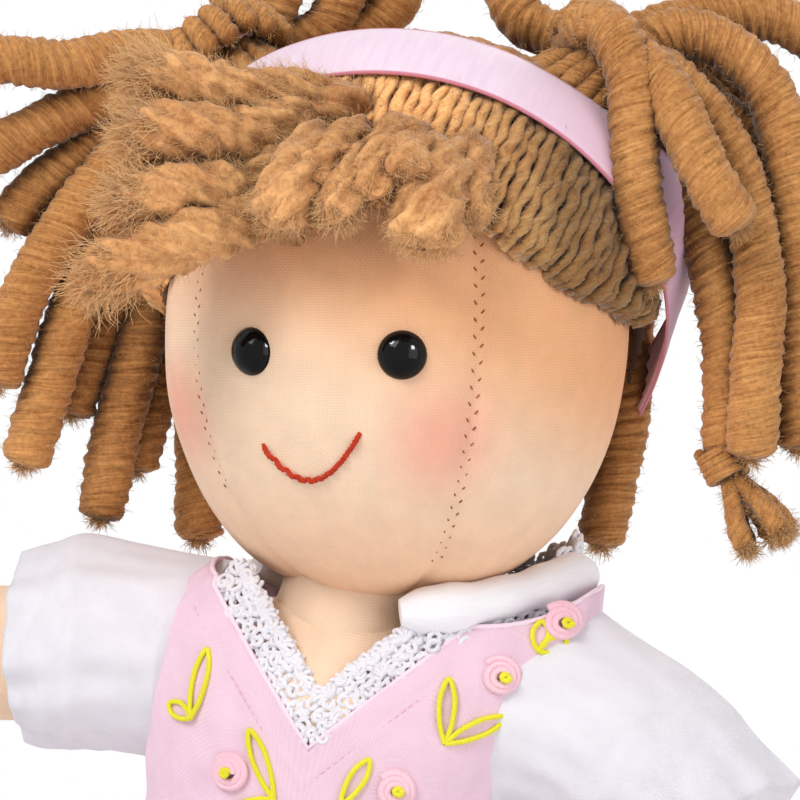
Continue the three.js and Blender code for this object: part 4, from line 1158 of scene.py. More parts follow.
for name, paths in PIGTAIL_PATHS.items():
    chance = random.Random(f"pigtail {name}")
    lines = [pigtail_line(SIDES[name], spots, chance.uniform(0, 6)) for spots in paths]
    winding = []
    if name == KNOTTED_LOCK[0]:
        lines[KNOTTED_LOCK[1]], wound, tuft = knotted_end(lines[KNOTTED_LOCK[1]], chance)
        lines += tuft
        winding.append(wound)
    body = f"pigtail_{name}"
    make_locks(f"pigtail_{name}_locks", lines, chance, body, [f"pigtail_{name}"], winding=winding)

# %% Hair ties and gathered roots
# The hair runs in from the cap, is drawn together by a covered elastic and spreads out again.
TIE_RADIUS, TIE_THICKNESS, TIE_LIFT = 9.4, 1.5, 5
TIE_STEPS, TIE_PUCKERS, PUCKER_DEPTH = 96, 24, 0.14
ROOT_YARNS = 18
ROOT_PATH = [(12.5, -9), (10, -3), (7.4, 5), (10.4, 9.5), (12.5, 8)]
ROOT_SIZES, ROOT_FUZZ, ROOT_FRAY = (2.3, 2.6), (2.5,), (40, 2)
for name, side in SIDES.items():
    seat, outward = pigtail_seat(side)
    upright, body = aimed(outward), f"pigtail_{name}"
    ring = []
    for i in range(TIE_STEPS + 1):
        angle = 2 * math.pi * i / TIE_STEPS
        spot = Vector((TIE_RADIUS * math.cos(angle), TIE_RADIUS * math.sin(angle), TIE_LIFT))
        thick = TIE_THICKNESS * (1 + PUCKER_DEPTH * math.cos(TIE_PUCKERS * angle))
        ring.append((seat + upright @ spot, thick, 0))
    tie = sweep([ring], ROUND_SECTION)
    make_piece(f"pigtail_{name}_tie", tie, tie_thread, body, [f"hair_tie_{name}"])

    chance = random.Random(f"root {name}")
    roots = []
    for i in range(ROOT_YARNS):
        angle = 2 * math.pi * (i + chance.uniform(-0.2, 0.2)) / ROOT_YARNS
        drawn = ROOT_PATH + [(13.5, 1 + chance.uniform(-2, 3))]
        spots = [seat + upright @ Vector((r * math.cos(angle), r * math.sin(angle), up)) for r, up in drawn]
        roots.append(lock_line(spots, ROOT_SIZES, chance.uniform(0, 6)))
    make_locks(f"pigtail_{name}_roots", roots, chance, body, [], ROOT_FUZZ, ROOT_FRAY)

# %% Fringe and loose locks
# The fringe is cut short and frays into soft clumps. The first four sweep out to the doll's right,
# and the others fall on the brow. Points are in millimetres from the middle of the head, and
# each clump has its radius at the root and at the cut end.
FRINGE = [
    ([(-4.2, -36, 40.2), (-10.6, -38.5, 41.4), (-18.9, -42.5, 41.3), (-27.3, -46, 43), (-36.5, -49, 43)],
     (4, 5.2)),
    ([(1, -35, 39), (-5.6, -38, 36.8), (-15.3, -46, 33.1), (-24.7, -51, 33.1), (-34.5, -54, 32.6)],
     (4.4, 5.6)),
    ([(-8, -44, 27), (-13, -48, 23.2), (-22.9, -54, 22.5), (-34.5, -57.5, 19.6)], (4, 5.2)),
    ([(-8, -46, 21), (-12.5, -50.5, 17.5), (-24, -56, 12.8), (-39.5, -58.5, 4.9)], (4, 5.6)),
    ([(-1, -45.9, 30.4), (-2.4, -53.8, 23), (-5.3, -55.4, 16.2)], (4.6, 5.6)),
    ([(6.4, -45.5, 28.6), (7.1, -52.1, 21.7), (6, -54.1, 16.5)], (3.6, 4)),
    ([(20.4, -38.6, 28.7), (21.6, -47.1, 19.5), (20.9, -49.9, 12.3)], (5.2, 6.8)),
    ([(14.6, -37, 32.2), (16.3, -45.7, 28.4), (16.9, -50, 23.6)], (4, 5.6)),
    ([(4.6, -39.5, 32.4), (1.8, -48.5, 28), (-1.4, -52.5, 23)], (4, 5.2)),
    ([(13.3, -40, 33.1), (11.9, -47.8, 26.6), (10.9, -50.2, 20.1)], (4.4, 5)),
    ([(23.8, -33.2, 31.4), (25.4, -39.5, 23.6), (26.7, -40.6, 17.4)], (4, 4.6)),
]
SWEPT_CLUMPS = 4
ROOT_DEPTH, CLUMP_PITCH, CLUMP_DOME = 0.8, 44, 9
FRINGE_WOOLS = (fringe_wool, fringe_fuzz, frayed_wool)
SWEPT_FUZZ, SWEPT_FRAY, SWEPT_ROUGH = (20, 3.4, 0.6), (900, 7.2, 0.3, 12), (1.0, 2.6)
TUFT_FUZZ, TUFT_FRAY, TUFT_ROUGH = (20, 2.6, 0.5), (420, 3.8, 0.35, 9), (0.9, 2.4)
NAPE = [(126, 17, -13), (128, 8, -3), (131, -14, 0), (130, -40, 5)]
HAIR_THICKNESS = 6
chance = random.Random("fringe")
lines = []
for spots, sizes in FRINGE:
    rooted = [HEAD_CENTRE + ROOT_DEPTH * Vector(spots[0])] + [HEAD_CENTRE + Vector(spot) for spot in spots]
    lines.append(lock_line(rooted, sizes, chance.uniform(0, 6), CLUMP_DOME, CLUMP_PITCH))
make_locks("hair_fringe_clumps", lines[:SWEPT_CLUMPS], chance, "head", ["hair_fringe"], SWEPT_FUZZ,
           SWEPT_FRAY, rough=SWEPT_ROUGH, wools=FRINGE_WOOLS, section=CLUMP_SECTION)
make_locks("hair_fringe_tufts", lines[SWEPT_CLUMPS:], chance, "head", ["hair_fringe"], TUFT_FUZZ,
           TUFT_FRAY, rough=TUFT_ROUGH, wools=FRINGE_WOOLS, section=CLUMP_SECTION)
for name, side in SIDES.items():
    spots = [head_point(side * longitude, latitude, HAIR_THICKNESS + lift)
             for longitude, latitude, lift in NAPE]
    make_locks(f"nape_{name}_lock", [lock_line(spots)], chance, "head", [f"nape_lock_{name}"])

# %% [markdown]
# ## Body
# The body is a stuffed cotton bag, flat under the seat and sloping to the neck. Little of it
# shows: the chest in the opening of the dress, and the neck. It is spun from its outline and
# flattened from front to back.

# %% Torso and neck
TORSO_DEPTH = 0.76
TORSO_OUTLINE = [(24.5, 0), (32.6, 6.4), (34, 18), (30.5, 34), (31.5, 72), (31.5, 83.5), (28.35, 96.3),
                 (17.5, TORSO_HEIGHT)]
NECK_OUTLINE = [(13, 229), (15.4, 236), (15.6, 242), (14.4, 247), (14.2, 253)]
torso_line = smooth_line(TORSO_OUTLINE, 70)
torso = turned([(0, 0), *torso_line, (0, TORSO_HEIGHT + 1)], 72)
moved(torso, Matrix.Translation((0, 0, TORSO_BOTTOM)) @ Matrix.Diagonal((1, TORSO_DEPTH, 1, 1)))
torso_piece = make_piece("torso_cover", torso, skin_cotton, "torso",
                         ["torso_skin", "torso_stuffing"])

neck = turned([(0, 228), *smooth_line(NECK_OUTLINE, 24), (0, 253.5)], 56)
neck_piece = make_piece("neck_cover", neck, skin_cotton, "neck",
                        ["neck_skin", "neck_stuffing"])

# %% [markdown]
# ## Dress
# The bodice is pale pink cotton with a V neck and set-in white sleeves. A crocheted edging
# lies inside the V, and a white roll goes round the neck. The bodice is one bent sheet whose
# upper edge follows the V, so the neckline needs no cutting.

# %% Bodice
NECKLINE_HALF, NECKLINE_DEPTH = 22.5, 24
NECKLINE_LOW = TORSO_TOP - NECKLINE_DEPTH
NECK_Z, STRAP_HALF, STRAP_SLOPE = 246, 24.4, 2.0
BODICE_LIFT, BODICE_WIDTH, BODICE_LENGTH = 1.3, 196, 76
WAIST_GATHERS, WAIST_GATHER_DEPTH, WAIST_GATHER_HEIGHT = 38, 0.45, 6
# Heights with half the width on the doll's right and left, half the depth, and how square it is.
BODICE_SIZES = [
    (WAIST_Z, 30, 30, 23, 2), (205, 32, 32, 24, 2.3), (222, 34, 34.5, 23.5, 3), (236, 34, 39, 19.5, 3.4),
    (246, 30, 44, 16, 3.4), (250, 25.5, 45, 14.5, 3.2), (258, 24, 45, 12, 3)]


def bodice_point(angle, z, lift=0.0):
    """A point of the bodice. The angle is 0 in front and grows to the doll's left."""
    gather = WAIST_GATHER_DEPTH * math.cos(WAIST_GATHERS * angle)
    out = BODICE_LIFT + lift + gather * math.exp(-(z - WAIST_Z) / WAIST_GATHER_HEIGHT)
    right, left, deep, square = between(BODICE_SIZES, z)
    across, ahead = math.sin(angle), math.cos(angle)
    width = (left if across > 0 else right) + out
    return Vector((math.copysign(width * abs(across) ** (2 / square), across),
                   -math.copysign((deep + out) * abs(ahead) ** (2 / square), ahead), z))


def bodice_front(x, z, lift):
    """The point in front of the bodice at a distance from the middle."""
    found = search(-math.pi / 2, math.pi / 2, 22, lambda angle: bodice_point(angle, z).x < x)
    return bodice_point(found, z, lift)


def neckline_half(side, z):
    """How far the neckline is from the middle: the V, then out over the doll's left shoulder."""
    if z < NECK_Z:
        return NECKLINE_HALF * (z - NECKLINE_LOW) / NECKLINE_DEPTH
    return STRAP_HALF + (STRAP_SLOPE * (z - NECK_Z) if side > 0 else 0)


def bodice_top(angle):
    """The height of the neckline at an angle: the V in front, the shoulders and the neck behind."""
    across = math.sin(angle)
    top = NECK_Z + (11 if across > 0 else 4) * abs(across) ** 3
    if math.cos(angle) <= 0:
        return top
    return search(NECKLINE_LOW, top, 24,
                  lambda z: abs(bodice_point(angle, z).x) > neckline_half(across, z))


def bodice_cloth(u, v):
    """The bodice's sheet: u goes round from the back, v up from the waist."""
    angle = 2 * math.pi * (u - 0.5)
    z = WAIST_Z + (bodice_top(angle) - WAIST_Z) * v
    crumple = 0.5 * noise.noise(Vector((6 * math.sin(angle), 6 * math.cos(angle), z / 9)))
    return bodice_point(angle, z, crumple)


bodice = bent_cloth(144, 48, BODICE_WIDTH, BODICE_LENGTH, bodice_cloth)
bodice_piece = make_piece("bodice_cloth", bodice, pink_cotton, "torso", ["bodice"])
thicken(bodice_piece, 0.8)

# %% Neckline binding
edge_line = []
for i in range(121):
    angle = math.radians(-88 + 176 * i / 120)
    edge_line.append((bodice_point(angle, bodice_top(angle), 0.1), 0.5, 0))
binding = sweep([edge_line], ROUND_SECTION)
binding_piece = make_piece("neckline_binding", binding, binding_wool, "torso")

# %% Stitches that hold the neckline's facing
FACING_WIDTH, FACING_STEP, FACING_STITCH = 7.6, 1.05, 0.62
facing = bmesh.new()
for i in range(-26, 26):
    ends = []
    for x in (FACING_STEP * i, FACING_STEP * i + FACING_STITCH):
        z = NECKLINE_LOW + NECKLINE_DEPTH / NECKLINE_HALF * abs(x) - FACING_WIDTH
        ends.append(bodice_front(x, z, 0.25))
    add_stitch(facing, *ends, 0.2)
facing_piece = make_piece("neckline_facing_stitches", facing, facing_thread, "torso")

# %% Crocheted edging
# Small thread loops, packed closely so that only pinholes are left, with scallops at the free edge.
LACE_WIDTH, LACE_STEP, LACE_LOOP, LACE_THREAD = 6.4, 1.75, 0.85, 0.5
SLANT = math.hypot(NECKLINE_HALF, NECKLINE_DEPTH)
LACE_LENGTH = 37


def lace_point(side, along, across, lift):
    """A point of the edging on one side of the V: up its slant, and in from the dress."""
    x = (along * NECKLINE_HALF - across * NECKLINE_DEPTH) / SLANT
    z = NECKLINE_LOW + (along * NECKLINE_DEPTH + across * NECKLINE_HALF) / SLANT
    point = bodice_front(side * x, min(z, 252), lift - 1.0)
    return Vector((point.x, point.y, z))


def lace_ring(side, along, across, radius, lift):
    """One closed loop of thread on the edging."""
    ring = []
    tall, lean = chance.uniform(0.75, 1.25), chance.uniform(0, 6)
    for angle in LOOP_TURNS:
        up, inward = along + radius / tall * math.cos(angle), across + radius * tall * math.sin(angle)
        point = lace_point(side, up, inward, lift + 0.35 * math.cos(angle + lean))
        ring.append((point, LACE_THREAD * (1 + 0.15 * math.cos(3 * angle + lean)), 0))
    return ring


def lace_shell(side, along, lift):
    """One scallop of the free edge: five narrow loops fanned out from a point."""
    petals = []
    for lean in (-72, -36, 0, 36, 72):
        turn = math.radians(lean + chance.uniform(-6, 6))
        petal = []
        for angle in LOOP_TURNS:
            out, wide = 1.2 * (1 + math.cos(angle)), 0.5 * math.sin(angle)
            petal.append((lace_point(side, along + out * math.sin(turn) + wide * math.cos(turn),
                                     LACE_WIDTH - 1.0 + out * math.cos(turn) - wide * math.sin(turn),
                                     lift + 0.5 * math.cos(angle / 2)), 0.46, 0))
        petals.append(petal)
    return petals


def on_own_side(along, across):
    """True for places of the edging on their own side of the middle."""
    return along * NECKLINE_HALF > across * NECKLINE_DEPTH - 1.0


chance = random.Random("lace")
lace_lines = []
for side in SIDES.values():
    for row in range(5):
        across = LACE_STEP * 0.87 * row + 0.2
        for i in range(23):
            along = LACE_STEP * (i + 0.5 * (row % 2)) + chance.uniform(-0.4, 0.4)
            if on_own_side(along, across) and along < LACE_LENGTH:
                lift = chance.uniform(0, 0.7) + 0.08 * across
                for _ in range(chance.choice((1, 1, 2))):
                    spot = along + chance.uniform(-0.3, 0.3), across + chance.uniform(-0.3, 0.3)
                    radius = LACE_LOOP * chance.uniform(0.75, 1.25)
                    lace_lines.append(lace_ring(side, *spot, radius, lift))
    for i in range(13):
        along = 3.3 * i + 1.6 + chance.uniform(-0.3, 0.3)
        if on_own_side(along, LACE_WIDTH) and along < LACE_LENGTH:
            lace_lines += lace_shell(side, along, 0.7 + chance.uniform(0, 0.5))
lace = sweep(lace_lines, ROUND_SECTION)
lace_piece = make_piece("lace_edging", lace, lace_thread, "torso", ["lace_collar"])

# %% Collar roll and standing lace
# A soft roll starts under the chin, lies on the doll's left shoulder and ends behind the neck.
ROLL = [(12, -18.5, 247), (23, -15, 250), (34, -7, 254.5), (40.5, 1, 258), (39, 9, 256), (29, 15, 251),
        (13, 18, 248.2), (-3, 18.5, 247.6), (-16, 16, 247.8), (-22, 9, 249)]
ROLL_STEPS = 120
roll_path = smooth_line(ROLL, ROLL_STEPS)
roll_line = []
for i, point in enumerate(roll_path):
    ends = smooth_step(-3, 7, i) * smooth_step(-3, 7, ROLL_STEPS - i)
    uneven = 0.3 * math.sin(0.21 * i) + 0.2 * math.sin(0.7 * i)
    roll_line.append((point, (0.45 + 0.55 * ends) * (4.5 - 1.3 * i / ROLL_STEPS + uneven), 0))
roll = sweep([roll_line], lobed_section("roll section", 1, 0.0, 20))
collar_piece = make_piece("collar_roll", roll, white_wool, "torso", ["collar_band"])

frill_lines = []
# Rows of loops over and under the roll: their height, first and last step along it, and lean.
FRILL_ROWS = [(2.4, 34, 116, 1.2), (4.0, 36, 116, 1.0), (5.6, 40, 116, 0.8), (6.9, 44, 116, 1.1),
              (-3.0, 6, 52, -1.2), (-4.5, 6, 52, -2.0), (-6.0, 6, 52, -2.4)]
for height, first, last, lean in FRILL_ROWS:
    for i in range(first, last, 2):
        point, inward = roll_path[i], Vector((-roll_path[i].x, -roll_path[i].y, 0)).normalized()
        along = (roll_path[i + 1] - roll_path[i - 1]).normalized()
        ruck = 0.7 * math.sin(0.9 * i)
        ring = []
        for turn in LOOP_TURNS:
            spot = point + Vector((0, 0, height + 0.4 * ruck + math.sin(turn))) + (lean + ruck) * inward
            ring.append((spot + (math.cos(turn) + 0.5 * chance.random()) * along, 0.52, 0))
        frill_lines.append(ring)
frill = sweep(frill_lines, lobed_section("frill section", 1, 0.0, 6))
frill_piece = make_piece("collar_lace", frill, lace_thread, "torso")

# %% Sleeves
# Each sleeve is gathered into the armhole, stands out in a puff and closes round the arm.
ARM_DROOP = {"left": math.radians(32), "right": math.radians(10)}
SLEEVE_LENGTH = {"left": 43, "right": 21}
SLEEVE_RISE = {"left": 4.5, "right": 1.5}
HEM_SLANT = {"left": 8, "right": 0}
SLEEVE_RADII = [(0, 17.5), (0.25, 19.8), (0.55, 20.2), (0.8, 19), (1, 17)]
SLEEVE_WIDTH, SLEEVE_CUT, SLEEVE_SEAM = 124, 50, 0.12
CUFF_RADIUS = 13.4
# The armhole: how far out its front, top and bottom are, its depth, middle height and half height.
ARMHOLES = {"left": (31, 45, 33, 17.2, 230.5, 22.5), "right": (32, 29, 28, 16.6, 229, 20.5)}


def arm_axis(name):
    """The shoulder's pivot, and the directions along the arm and across its top."""
    side, droop = SIDES[name], ARM_DROOP[name]
    along = Vector((side * math.cos(droop), 0, -math.sin(droop)))
    upper = Vector((side * math.sin(droop), 0, math.cos(droop)))
    return Vector((side * SHOULDER_X, 0, SHOULDER_Z)), along, upper


def armhole_point(name, turn):
    """A point of the armhole, from the front of the chest over the shoulder's top and round."""
    front, high = math.cos(turn), math.sin(turn)
    middle, top, bottom, deep, centre, tall = ARMHOLES[name]
    out = middle + ((top if high > 0 else bottom) - middle) * high ** 2
    return Vector((SIDES[name] * out, -deep * front, centre + tall * high))


def sleeve_cloth(name):
    """The place of each point of one sleeve."""
    side = SIDES[name]
    pivot, along, upper = arm_axis(name)
    radii = smooth_line(SLEEVE_RADII, 40)

    def place(u, v):
        turn = 2 * math.pi * u
        share = max(0, (v - SLEEVE_SEAM) / (1 - SLEEVE_SEAM))
        radius = radii[round(share * 40)].y
        ends = math.exp(-share * 5) + math.exp(-(1 - share) * 6)
        fold = 0.75 * math.cos(9 * turn + 1.3 * side + 2 * share) + 0.5 * math.cos(16 * turn + 3 * share)
        soft = 1.5 * noise.noise(Vector((2.2 * math.cos(turn), 2.2 * math.sin(turn), 3 * share + 5 * side)))
        radius += fold * (0.25 + 0.75 * ends) + soft
        out = math.cos(turn) * Vector((0, -1, 0)) + math.sin(turn) * upper
        rise = SLEEVE_RISE[name] * upper
        reach = SLEEVE_LENGTH[name] - HEM_SLANT[name] * max(0, math.cos(turn))
        on_arm = pivot + rise + along * (-3 + (reach + 3) * share) + radius * out
        turned_in = pivot + along * (reach - 2.5) + CUFF_RADIUS * out
        on_arm = on_arm.lerp(turned_in, smooth_step(0.955, 1.0, v))
        hole = armhole_point(name, turn) + Vector((-4.5 * side * (1 - smooth_step(0, 0.1, v)), 0, 0))
        hole.y *= 0.86 + 0.14 * smooth_step(0, SLEEVE_SEAM, v)
        return hole.lerp(on_arm, smooth_step(0.04, 0.42, v))
    return place


for name in SIDES:
    sleeve = bent_cloth(112, 44, SLEEVE_WIDTH, SLEEVE_CUT, sleeve_cloth(name))
    sleeve_piece = make_piece(f"sleeve_{name}_cloth", sleeve, white_cotton, None,
                              [f"sleeve_{name}"])
    pivot, along, _ = arm_axis(name)
    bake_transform(sleeve_piece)
    thicken(sleeve_piece, 0.6)

# %% Arms
# A stuffed arm narrows to the wrist and ends in a mitten hand, a little flattened.
ARM_OUTLINE = [(12, -9), (13, 20), (12.5, 50), (10, 72), (12.5, 86), (9.5, 96.5), (4, 99.6), (0, 100)]
for name, side in SIDES.items():
    arm = turned([(0, -9), *smooth_line(ARM_OUTLINE, 60)], 48)
    for vert in arm.verts:
        flat = smooth_step(66, 84, vert.co.z)
        vert.co.x *= 1 - 0.22 * flat
        vert.co.z = min(vert.co.z, 100)
    turn = Matrix.Rotation(side * (math.pi / 2 + ARM_DROOP[name]), 4, "Y")
    moved(arm, Matrix.Translation((side * SHOULDER_X, 0, SHOULDER_Z)) @ turn)
    arm_piece = make_piece(f"arm_{name}_cover", arm, skin_cotton, f"arm_{name}",
                           [f"arm_{name}_skin", f"arm_{name}_stuffing"])

# %% [markdown]
# ## Skirt
# The skirt is a wide length of the same cotton, gathered to the waist and falling in folds. A
# leg that swings forward lifts it, so it is two halves that meet in the middle.

# %% Skirt
SKIRT_LENGTH = 92
SKIRT_OUTLINE = [(31.6, 1.2), (34, -2), (39.5, -11), (45.3, -27.6), (53.2, -60.7), (58.4, -SKIRT_LENGTH)]
SKIRT_FOLDS, SKIRT_FOLD_DEPTH = 11, 4
SKIRT_GATHERS, SKIRT_GATHER_DEPTH = 44, 0.7
SKIRT_CREASES, SKIRT_CREASE_DEPTH = 23, 1.2
SKIRT_WIDTH = 190
skirt_radii = [(spot.y, spot.x) for spot in reversed(smooth_line(SKIRT_OUTLINE, 60))]


def skirt_point(angle, z, lift=0.0):
    """A point of the skirt. The angle is 0 in front and grows to the doll's left."""
    drop = z - WAIST_Z
    radius = between(skirt_radii, max(drop, -SKIRT_LENGTH))[0]
    fall = max(0, -drop / SKIRT_LENGTH)
    sway = angle + 0.1 * math.sin(3 * angle + 1)
    fold = SKIRT_FOLD_DEPTH * fall * math.cos(SKIRT_FOLDS * (sway + math.pi))
    gather = SKIRT_GATHER_DEPTH * math.cos(SKIRT_GATHERS * angle) * math.exp(-7 * fall)
    crease = SKIRT_CREASE_DEPTH * fall * math.cos(SKIRT_CREASES * angle + 4 * fall)
    reach = radius + lift + fold + gather * smooth_step(0, 0.05, fall) + crease
    depth = TORSO_DEPTH + (1 - TORSO_DEPTH) * min(1, 0.2 + 0.6 * fall)
    return Vector((reach * math.sin(angle), -reach * depth * math.cos(angle), z))


def follows_leg(point, side):
    """How far a point of the skirt goes with the leg of its side, from 0 to 1."""
    beside = smooth_step(1, 15, side * point.x)
    below = 1 - smooth_step(104, 146, point.z)
    in_front = 1 - smooth_step(-26, 14, point.y)
    return 0.96 * beside * below * in_front


def blend_with_leg(piece, name):
    """Bakes a piece of the skirt into its mesh, and works out how far each point goes with a leg. These
    shares are not used.
    """
    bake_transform(piece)
    back = DOLL.inverted()
    shares = [follows_leg(back @ vert.co, SIDES[name]) for vert in piece.data.vertices]


SKIRT_TOP = WAIST_Z + SKIRT_OUTLINE[0][1]
for name, side in SIDES.items():
    def skirt_cloth(u, v):
        return skirt_point(side * math.pi * u, SKIRT_TOP - (SKIRT_LENGTH + SKIRT_OUTLINE[0][1]) * v)
    skirt = bent_cloth(132, 56, SKIRT_WIDTH, SKIRT_LENGTH, skirt_cloth, closed=False)
    skirt_piece = make_piece(f"skirt_{name}_half", skirt, pink_cotton, None, ["skirt"])
    blend_with_leg(skirt_piece, name)
    thicken(skirt_piece, 0.8)

# %% [markdown]
# ## Embroidered sprigs
# Small flowers are worked all over the pink cotton: a rosette wound in pale pink thread, a
# yellow knot in its middle, and two looped leaf stitches beside it. This is an everyday
# sprig of our own, laid on the cloth stitch by stitch with swept thread.

# %% Sprigs
ROSETTE_TURNS = 2.4
ROSETTE_THREAD, KNOT_THREAD, LEAF_THREAD = 0.75, 0.6, 0.52
LEAF_HALF = 1.3
LEAF_LOOP = [(0, 0), (0.3, 0.8), (0.7, 1), (1, 0), (0.7, -1), (0.3, -0.8), (0, 0)]
LEAF_LENGTH, LEAF_SPREAD, ROSETTE_AHEAD = 9.5, 0.75, 7.5


def sprig_lines(spot, leaves, rosette_at):
    """The threads of one sprig: a rosette, its knot and two leaves that start from one place."""
    rosette, yellow = [], []
    if rosette_at:
        u, v = rosette_at
        for i in range(45):
            share = i / 44
            turn = 2 * math.pi * ROSETTE_TURNS * share
            radius = 1.0 + 2.3 * share
            point = spot(u + radius * math.cos(turn), v + radius * math.sin(turn), 1.5 - 0.7 * share)
            rosette.append((point, ROSETTE_THREAD, 0))
        yellow.append([(spot(u + KNOT_THREAD * math.cos(t), v + KNOT_THREAD * math.sin(t), 2.0 + 0.1 * t),
                        KNOT_THREAD, 0) for t in range(8)])
    for way in leaves:
        way = Vector(way)
        wide = LEAF_HALF * Vector((-way.y, way.x)).normalized()
        loop = [along * way + out * wide for along, out in LEAF_LOOP]
        yellow.append([(spot(*point, 0.75), LEAF_THREAD, 0) for point in smooth_line(loop, 30)])
    return rosette, yellow


def make_sprigs(name, sprigs):
    """All the sprigs on one piece of cloth: one mesh of rosettes and one of yellow stitches."""
    lines = [sprig_lines(*sprig) for sprig in sprigs]
    section = lobed_section("sprig section", 1, 0.0, 6)
    rosettes = sweep([rosette for rosette, _ in lines if rosette], section)
    yellows = sweep([line for _, yellow in lines for line in yellow], section)
    return (make_piece(f"{name}_rosettes", rosettes, rosette_thread, None),
            make_piece(f"{name}_leaves", yellows, leaf_thread, None))


def round_cloth(surface, angle, z):
    """Places on a cloth that goes round: across and up from a point of it."""
    angle = math.radians(angle)
    reach = math.hypot(surface(angle, z).x, surface(angle, z).y)
    return lambda u, v, lift: surface(angle + u / reach, z + v, lift)


def everyday_sprig(surface, angle, z, heading):
    """A sprig whose two leaves open toward a heading, with the rosette between them."""
    heading = math.radians(heading)
    def ahead(length, lean=0.0):
        return (length * math.cos(heading + lean), length * math.sin(heading + lean))
    leaves = [ahead(LEAF_LENGTH, lean) for lean in (LEAF_SPREAD, -LEAF_SPREAD)]
    return round_cloth(surface, angle, z), leaves, ahead(ROSETTE_AHEAD)


def front_cloth(x, z):
    """Places on the front of the bodice, across and up from a point of it."""
    return lambda u, v, lift: bodice_front(x + u, z + v, lift)


FRONT_SPRIGS = [
    (front_cloth(-22.6, 221.4), [(0.5, 13), (-4.9, 1.7)], None),
    (front_cloth(-4.5, 209.7), [(-6.6, 11.8), (-8.4, -4.6)], (-9, 3.3)),
    (front_cloth(7.6, 210.8), [(3.9, 9.2), (10, -2.3)], (9.3, 4.4)),
    (front_cloth(24.1, 225), [(-1.3, 11.7), (9.5, 6.2)], (7.5, 13.6)),
    (front_cloth(37.4, 244), [(-0.3, 5.5), (4.4, 2.8)], (3, 6)),
]
BODICE_SPRIGS = [(-16, 192, 30), (40, 194, 150), (-62, 188, 100), (14, 176, 200), (-124, 212, 40),
                 (-158, 194, 170), (158, 212, 80), (112, 190, 210), (152, 180, 20)]
sprigs = FRONT_SPRIGS + [everyday_sprig(bodice_point, *place) for place in BODICE_SPRIGS]
for piece in make_sprigs("bodice_sprig", sprigs):
    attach(piece, "torso")
SKIRT_SPRIGS = [(14, 146, 40), (52, 138, 160), (98, 148, 80), (142, 140, 200), (24, 112, 190), (66, 106, 30),
                (110, 112, 150), (156, 108, 60), (42, 86, 100), (88, 84, 220), (132, 88, 20)]
for name, side in SIDES.items():
    places = [(side * angle, z, heading if side > 0 else 180 - heading) for angle, z, heading in SKIRT_SPRIGS]
    sprigs = [everyday_sprig(skirt_point, *place) for place in places]
    for piece in make_sprigs(f"skirt_{name}_sprig", sprigs):
        blend_with_leg(piece, name)

# %% [markdown]
# ## Legs, drawers and shoes
# Nothing below the chest shows in the photograph, so these follow what such a doll has: plain
# stuffed legs, white drawers gathered over the knees, and felt shoes with a strap and button.

# %% Legs and drawers
HIP_X = 19
LEG_OUTLINE = [(5.1, -14.1), (11.4, -9.6), (15, 0), (15, 23.6), (13.2, 59), (11, 91), (11, 104), (9, 110.5)]
DRAWERS_OUTLINE = [(4, -16.4), (11, -12.8), (16.4, -2), (17.3, 10), (17.4, 20), (16.6, 26), (15.4, 29.5),
                   (15.9, 31), (17.4, 34)]
DRAWERS_WIDTH, DRAWERS_GATHERS, SEAT_WIDTH, SEAT_LIFT = 108, 18, 110, 1.1
for name, side in SIDES.items():
    downwards = Matrix.Translation((side * HIP_X, 0, HIP_Z)) @ Matrix.Rotation(math.pi, 4, "X")
    leg = turned([(0, -14.6), *smooth_line(LEG_OUTLINE, 60), (0, 111)], 48)
    leg_piece = make_piece(f"leg_{name}_cover", moved(leg, downwards), skin_cotton, f"leg_{name}",
                           [f"leg_{name}_skin", f"leg_{name}_stuffing"])

    drawers = turned([(0, -16.7), *smooth_line(DRAWERS_OUTLINE, 56)], 128)
    for vert in drawers.verts:
        turn = math.atan2(vert.co.y, vert.co.x)
        pull = 0.55 * smooth_step(8, 30, vert.co.z) + 0.5 * smooth_step(30, 34, vert.co.z)
        swell = pull * math.cos(DRAWERS_GATHERS * turn)
        vert.co.x += swell * math.cos(turn)
        vert.co.y += swell * math.sin(turn)
    drawers_piece = make_piece(f"drawers_{name}_leg", moved(drawers, downwards), white_cotton,
                               f"leg_{name}", [f"bloomers_leg_{name}"])
    thicken(drawers_piece, 0.5)

seat_line = [(spot.x + SEAT_LIFT, spot.y - SEAT_LIFT) for spot in torso_line if spot.y < 20]
seat = turned([(0, -SEAT_LIFT), *seat_line], 72)
seat_depth = (34 * TORSO_DEPTH + SEAT_LIFT) / (34 + SEAT_LIFT)
moved(seat, Matrix.Translation((0, 0, TORSO_BOTTOM)) @ Matrix.Diagonal((1, seat_depth, 1, 1)))
seat_piece = make_piece("drawers_seat", seat, white_cotton, "torso", ["bloomers_seat"])
thicken(seat_piece, 0.5)

# %% Shoes
# The upper is one piece of felt drawn over the foot, from the sole's edge to a round opening.
SHOE_HALF = Vector((14.5, 24))
SHOE_MIDDLE = -7
SOLE_THICKNESS, SOLE_EDGE = 3, 0.5
SHOE_HEIGHT, OPENING_DIP = 20.6, 3
OPENING_HALF, OPENING_MIDDLE = Vector((12.2, 12.4)), -0.6


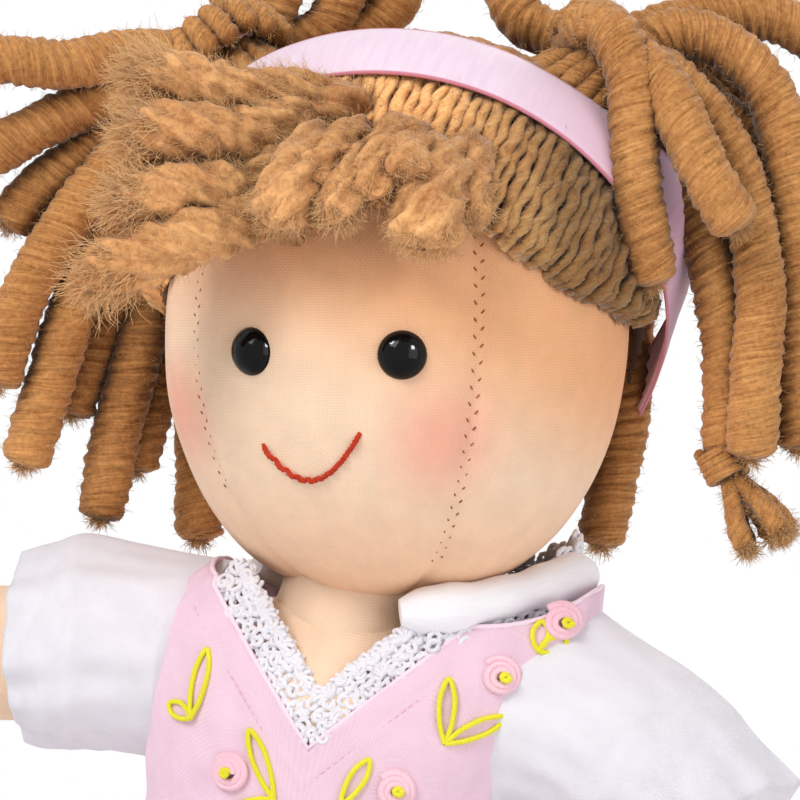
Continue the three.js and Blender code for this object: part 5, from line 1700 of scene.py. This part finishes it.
def shoe_cloth(u, v):
    """The shoe's upper: u goes round from the heel, v up from the sole to the opening."""
    turn = 2 * math.pi * u
    sole_edge = Vector((SHOE_HALF.x * math.sin(turn), SHOE_MIDDLE + SHOE_HALF.y * math.cos(turn)))
    opening = Vector((OPENING_HALF.x * math.sin(turn), OPENING_MIDDLE + OPENING_HALF.y * math.cos(turn)))
    inwards = 1 - math.cos(0.5 * math.pi * v)
    rim = SHOE_HEIGHT - OPENING_DIP * max(0, -math.cos(turn))
    rise = SOLE_THICKNESS - 0.3 + (rim - SOLE_THICKNESS) * math.sin(0.5 * math.pi * v)
    spot = sole_edge.lerp(opening, inwards)
    return Vector((spot.x, spot.y, rise))


STRAP_Z, STRAP_RADIUS = 24, 12.0
STRAP_OUTLINE = [(0, -2.5), (0.9, -2.5), (1.3, -1.8), (1.3, 1.8), (0.9, 2.5), (0, 2.5), (0, -2.5)]
BUTTON_OUTLINE = [(0, 0), (2.2, 0), (2.5, 0.5), (2.3, 1.1), (1.5, 1.35), (0.9, 1.0), (0, 0.9)]
for name, side in SIDES.items():
    at_foot = Matrix.Translation((side * HIP_X, 0, 0))
    body = f"leg_{name}"
    upper = bent_cloth(72, 18, 120, 40, shoe_cloth)
    upper_piece = make_piece(f"shoe_{name}_felt", moved(upper, at_foot), shoe_felt, body,
                             [f"shoe_{name}_upper"])
    thicken(upper_piece, 1.2, -1)

    rim = [(at_foot @ shoe_cloth(i / 72, 1.0), 0.75, 0) for i in range(73)]
    make_piece(f"shoe_{name}_binding", sweep([rim], ROUND_SECTION), tie_thread, body)

    sole = bmesh.new()
    bmesh.ops.create_circle(sole, cap_ends=True, radius=1, segments=56)
    moved(sole, Matrix.Diagonal((SHOE_HALF.x + SOLE_EDGE, SHOE_HALF.y + SOLE_EDGE, 1, 1)))
    lifted = bmesh.ops.extrude_face_region(sole, geom=list(sole.faces))["geom"]
    risen = [item for item in lifted if isinstance(item, bmesh.types.BMVert)]
    bmesh.ops.translate(sole, vec=(0, 0, SOLE_THICKNESS), verts=risen)
    rims = [edge for edge in sole.edges if abs(edge.verts[0].co.z - edge.verts[1].co.z) < 1e-6]
    bmesh.ops.bevel(sole, geom=rims, offset=0.8, segments=3, profile=0.5, affect="EDGES", material=-1)
    bmesh.ops.recalc_face_normals(sole, faces=sole.faces)
    moved(sole, at_foot @ Matrix.Translation((0, SHOE_MIDDLE, 0)))
    make_piece(f"shoe_{name}_felt_sole", sole, sole_felt, body, [f"shoe_{name}_sole"])

    strap = turned([(STRAP_RADIUS + out, up) for out, up in STRAP_OUTLINE], 64)
    moved(strap, at_foot @ Matrix.Translation((0, 0, STRAP_Z)))
    make_piece(f"shoe_{name}_felt_strap", strap, shoe_felt, body, [f"shoe_{name}_strap"])

    button = turned(BUTTON_OUTLINE, 32)
    outwards = Matrix.Rotation(side * math.pi / 2, 4, "Y")
    moved(button, at_foot @ Matrix.Translation((side * (STRAP_RADIUS + 1.25), 0, STRAP_Z)) @ outwards)
    make_piece(f"shoe_{name}_pearl_button", button, button_pearl, body, [f"shoe_{name}_button"])
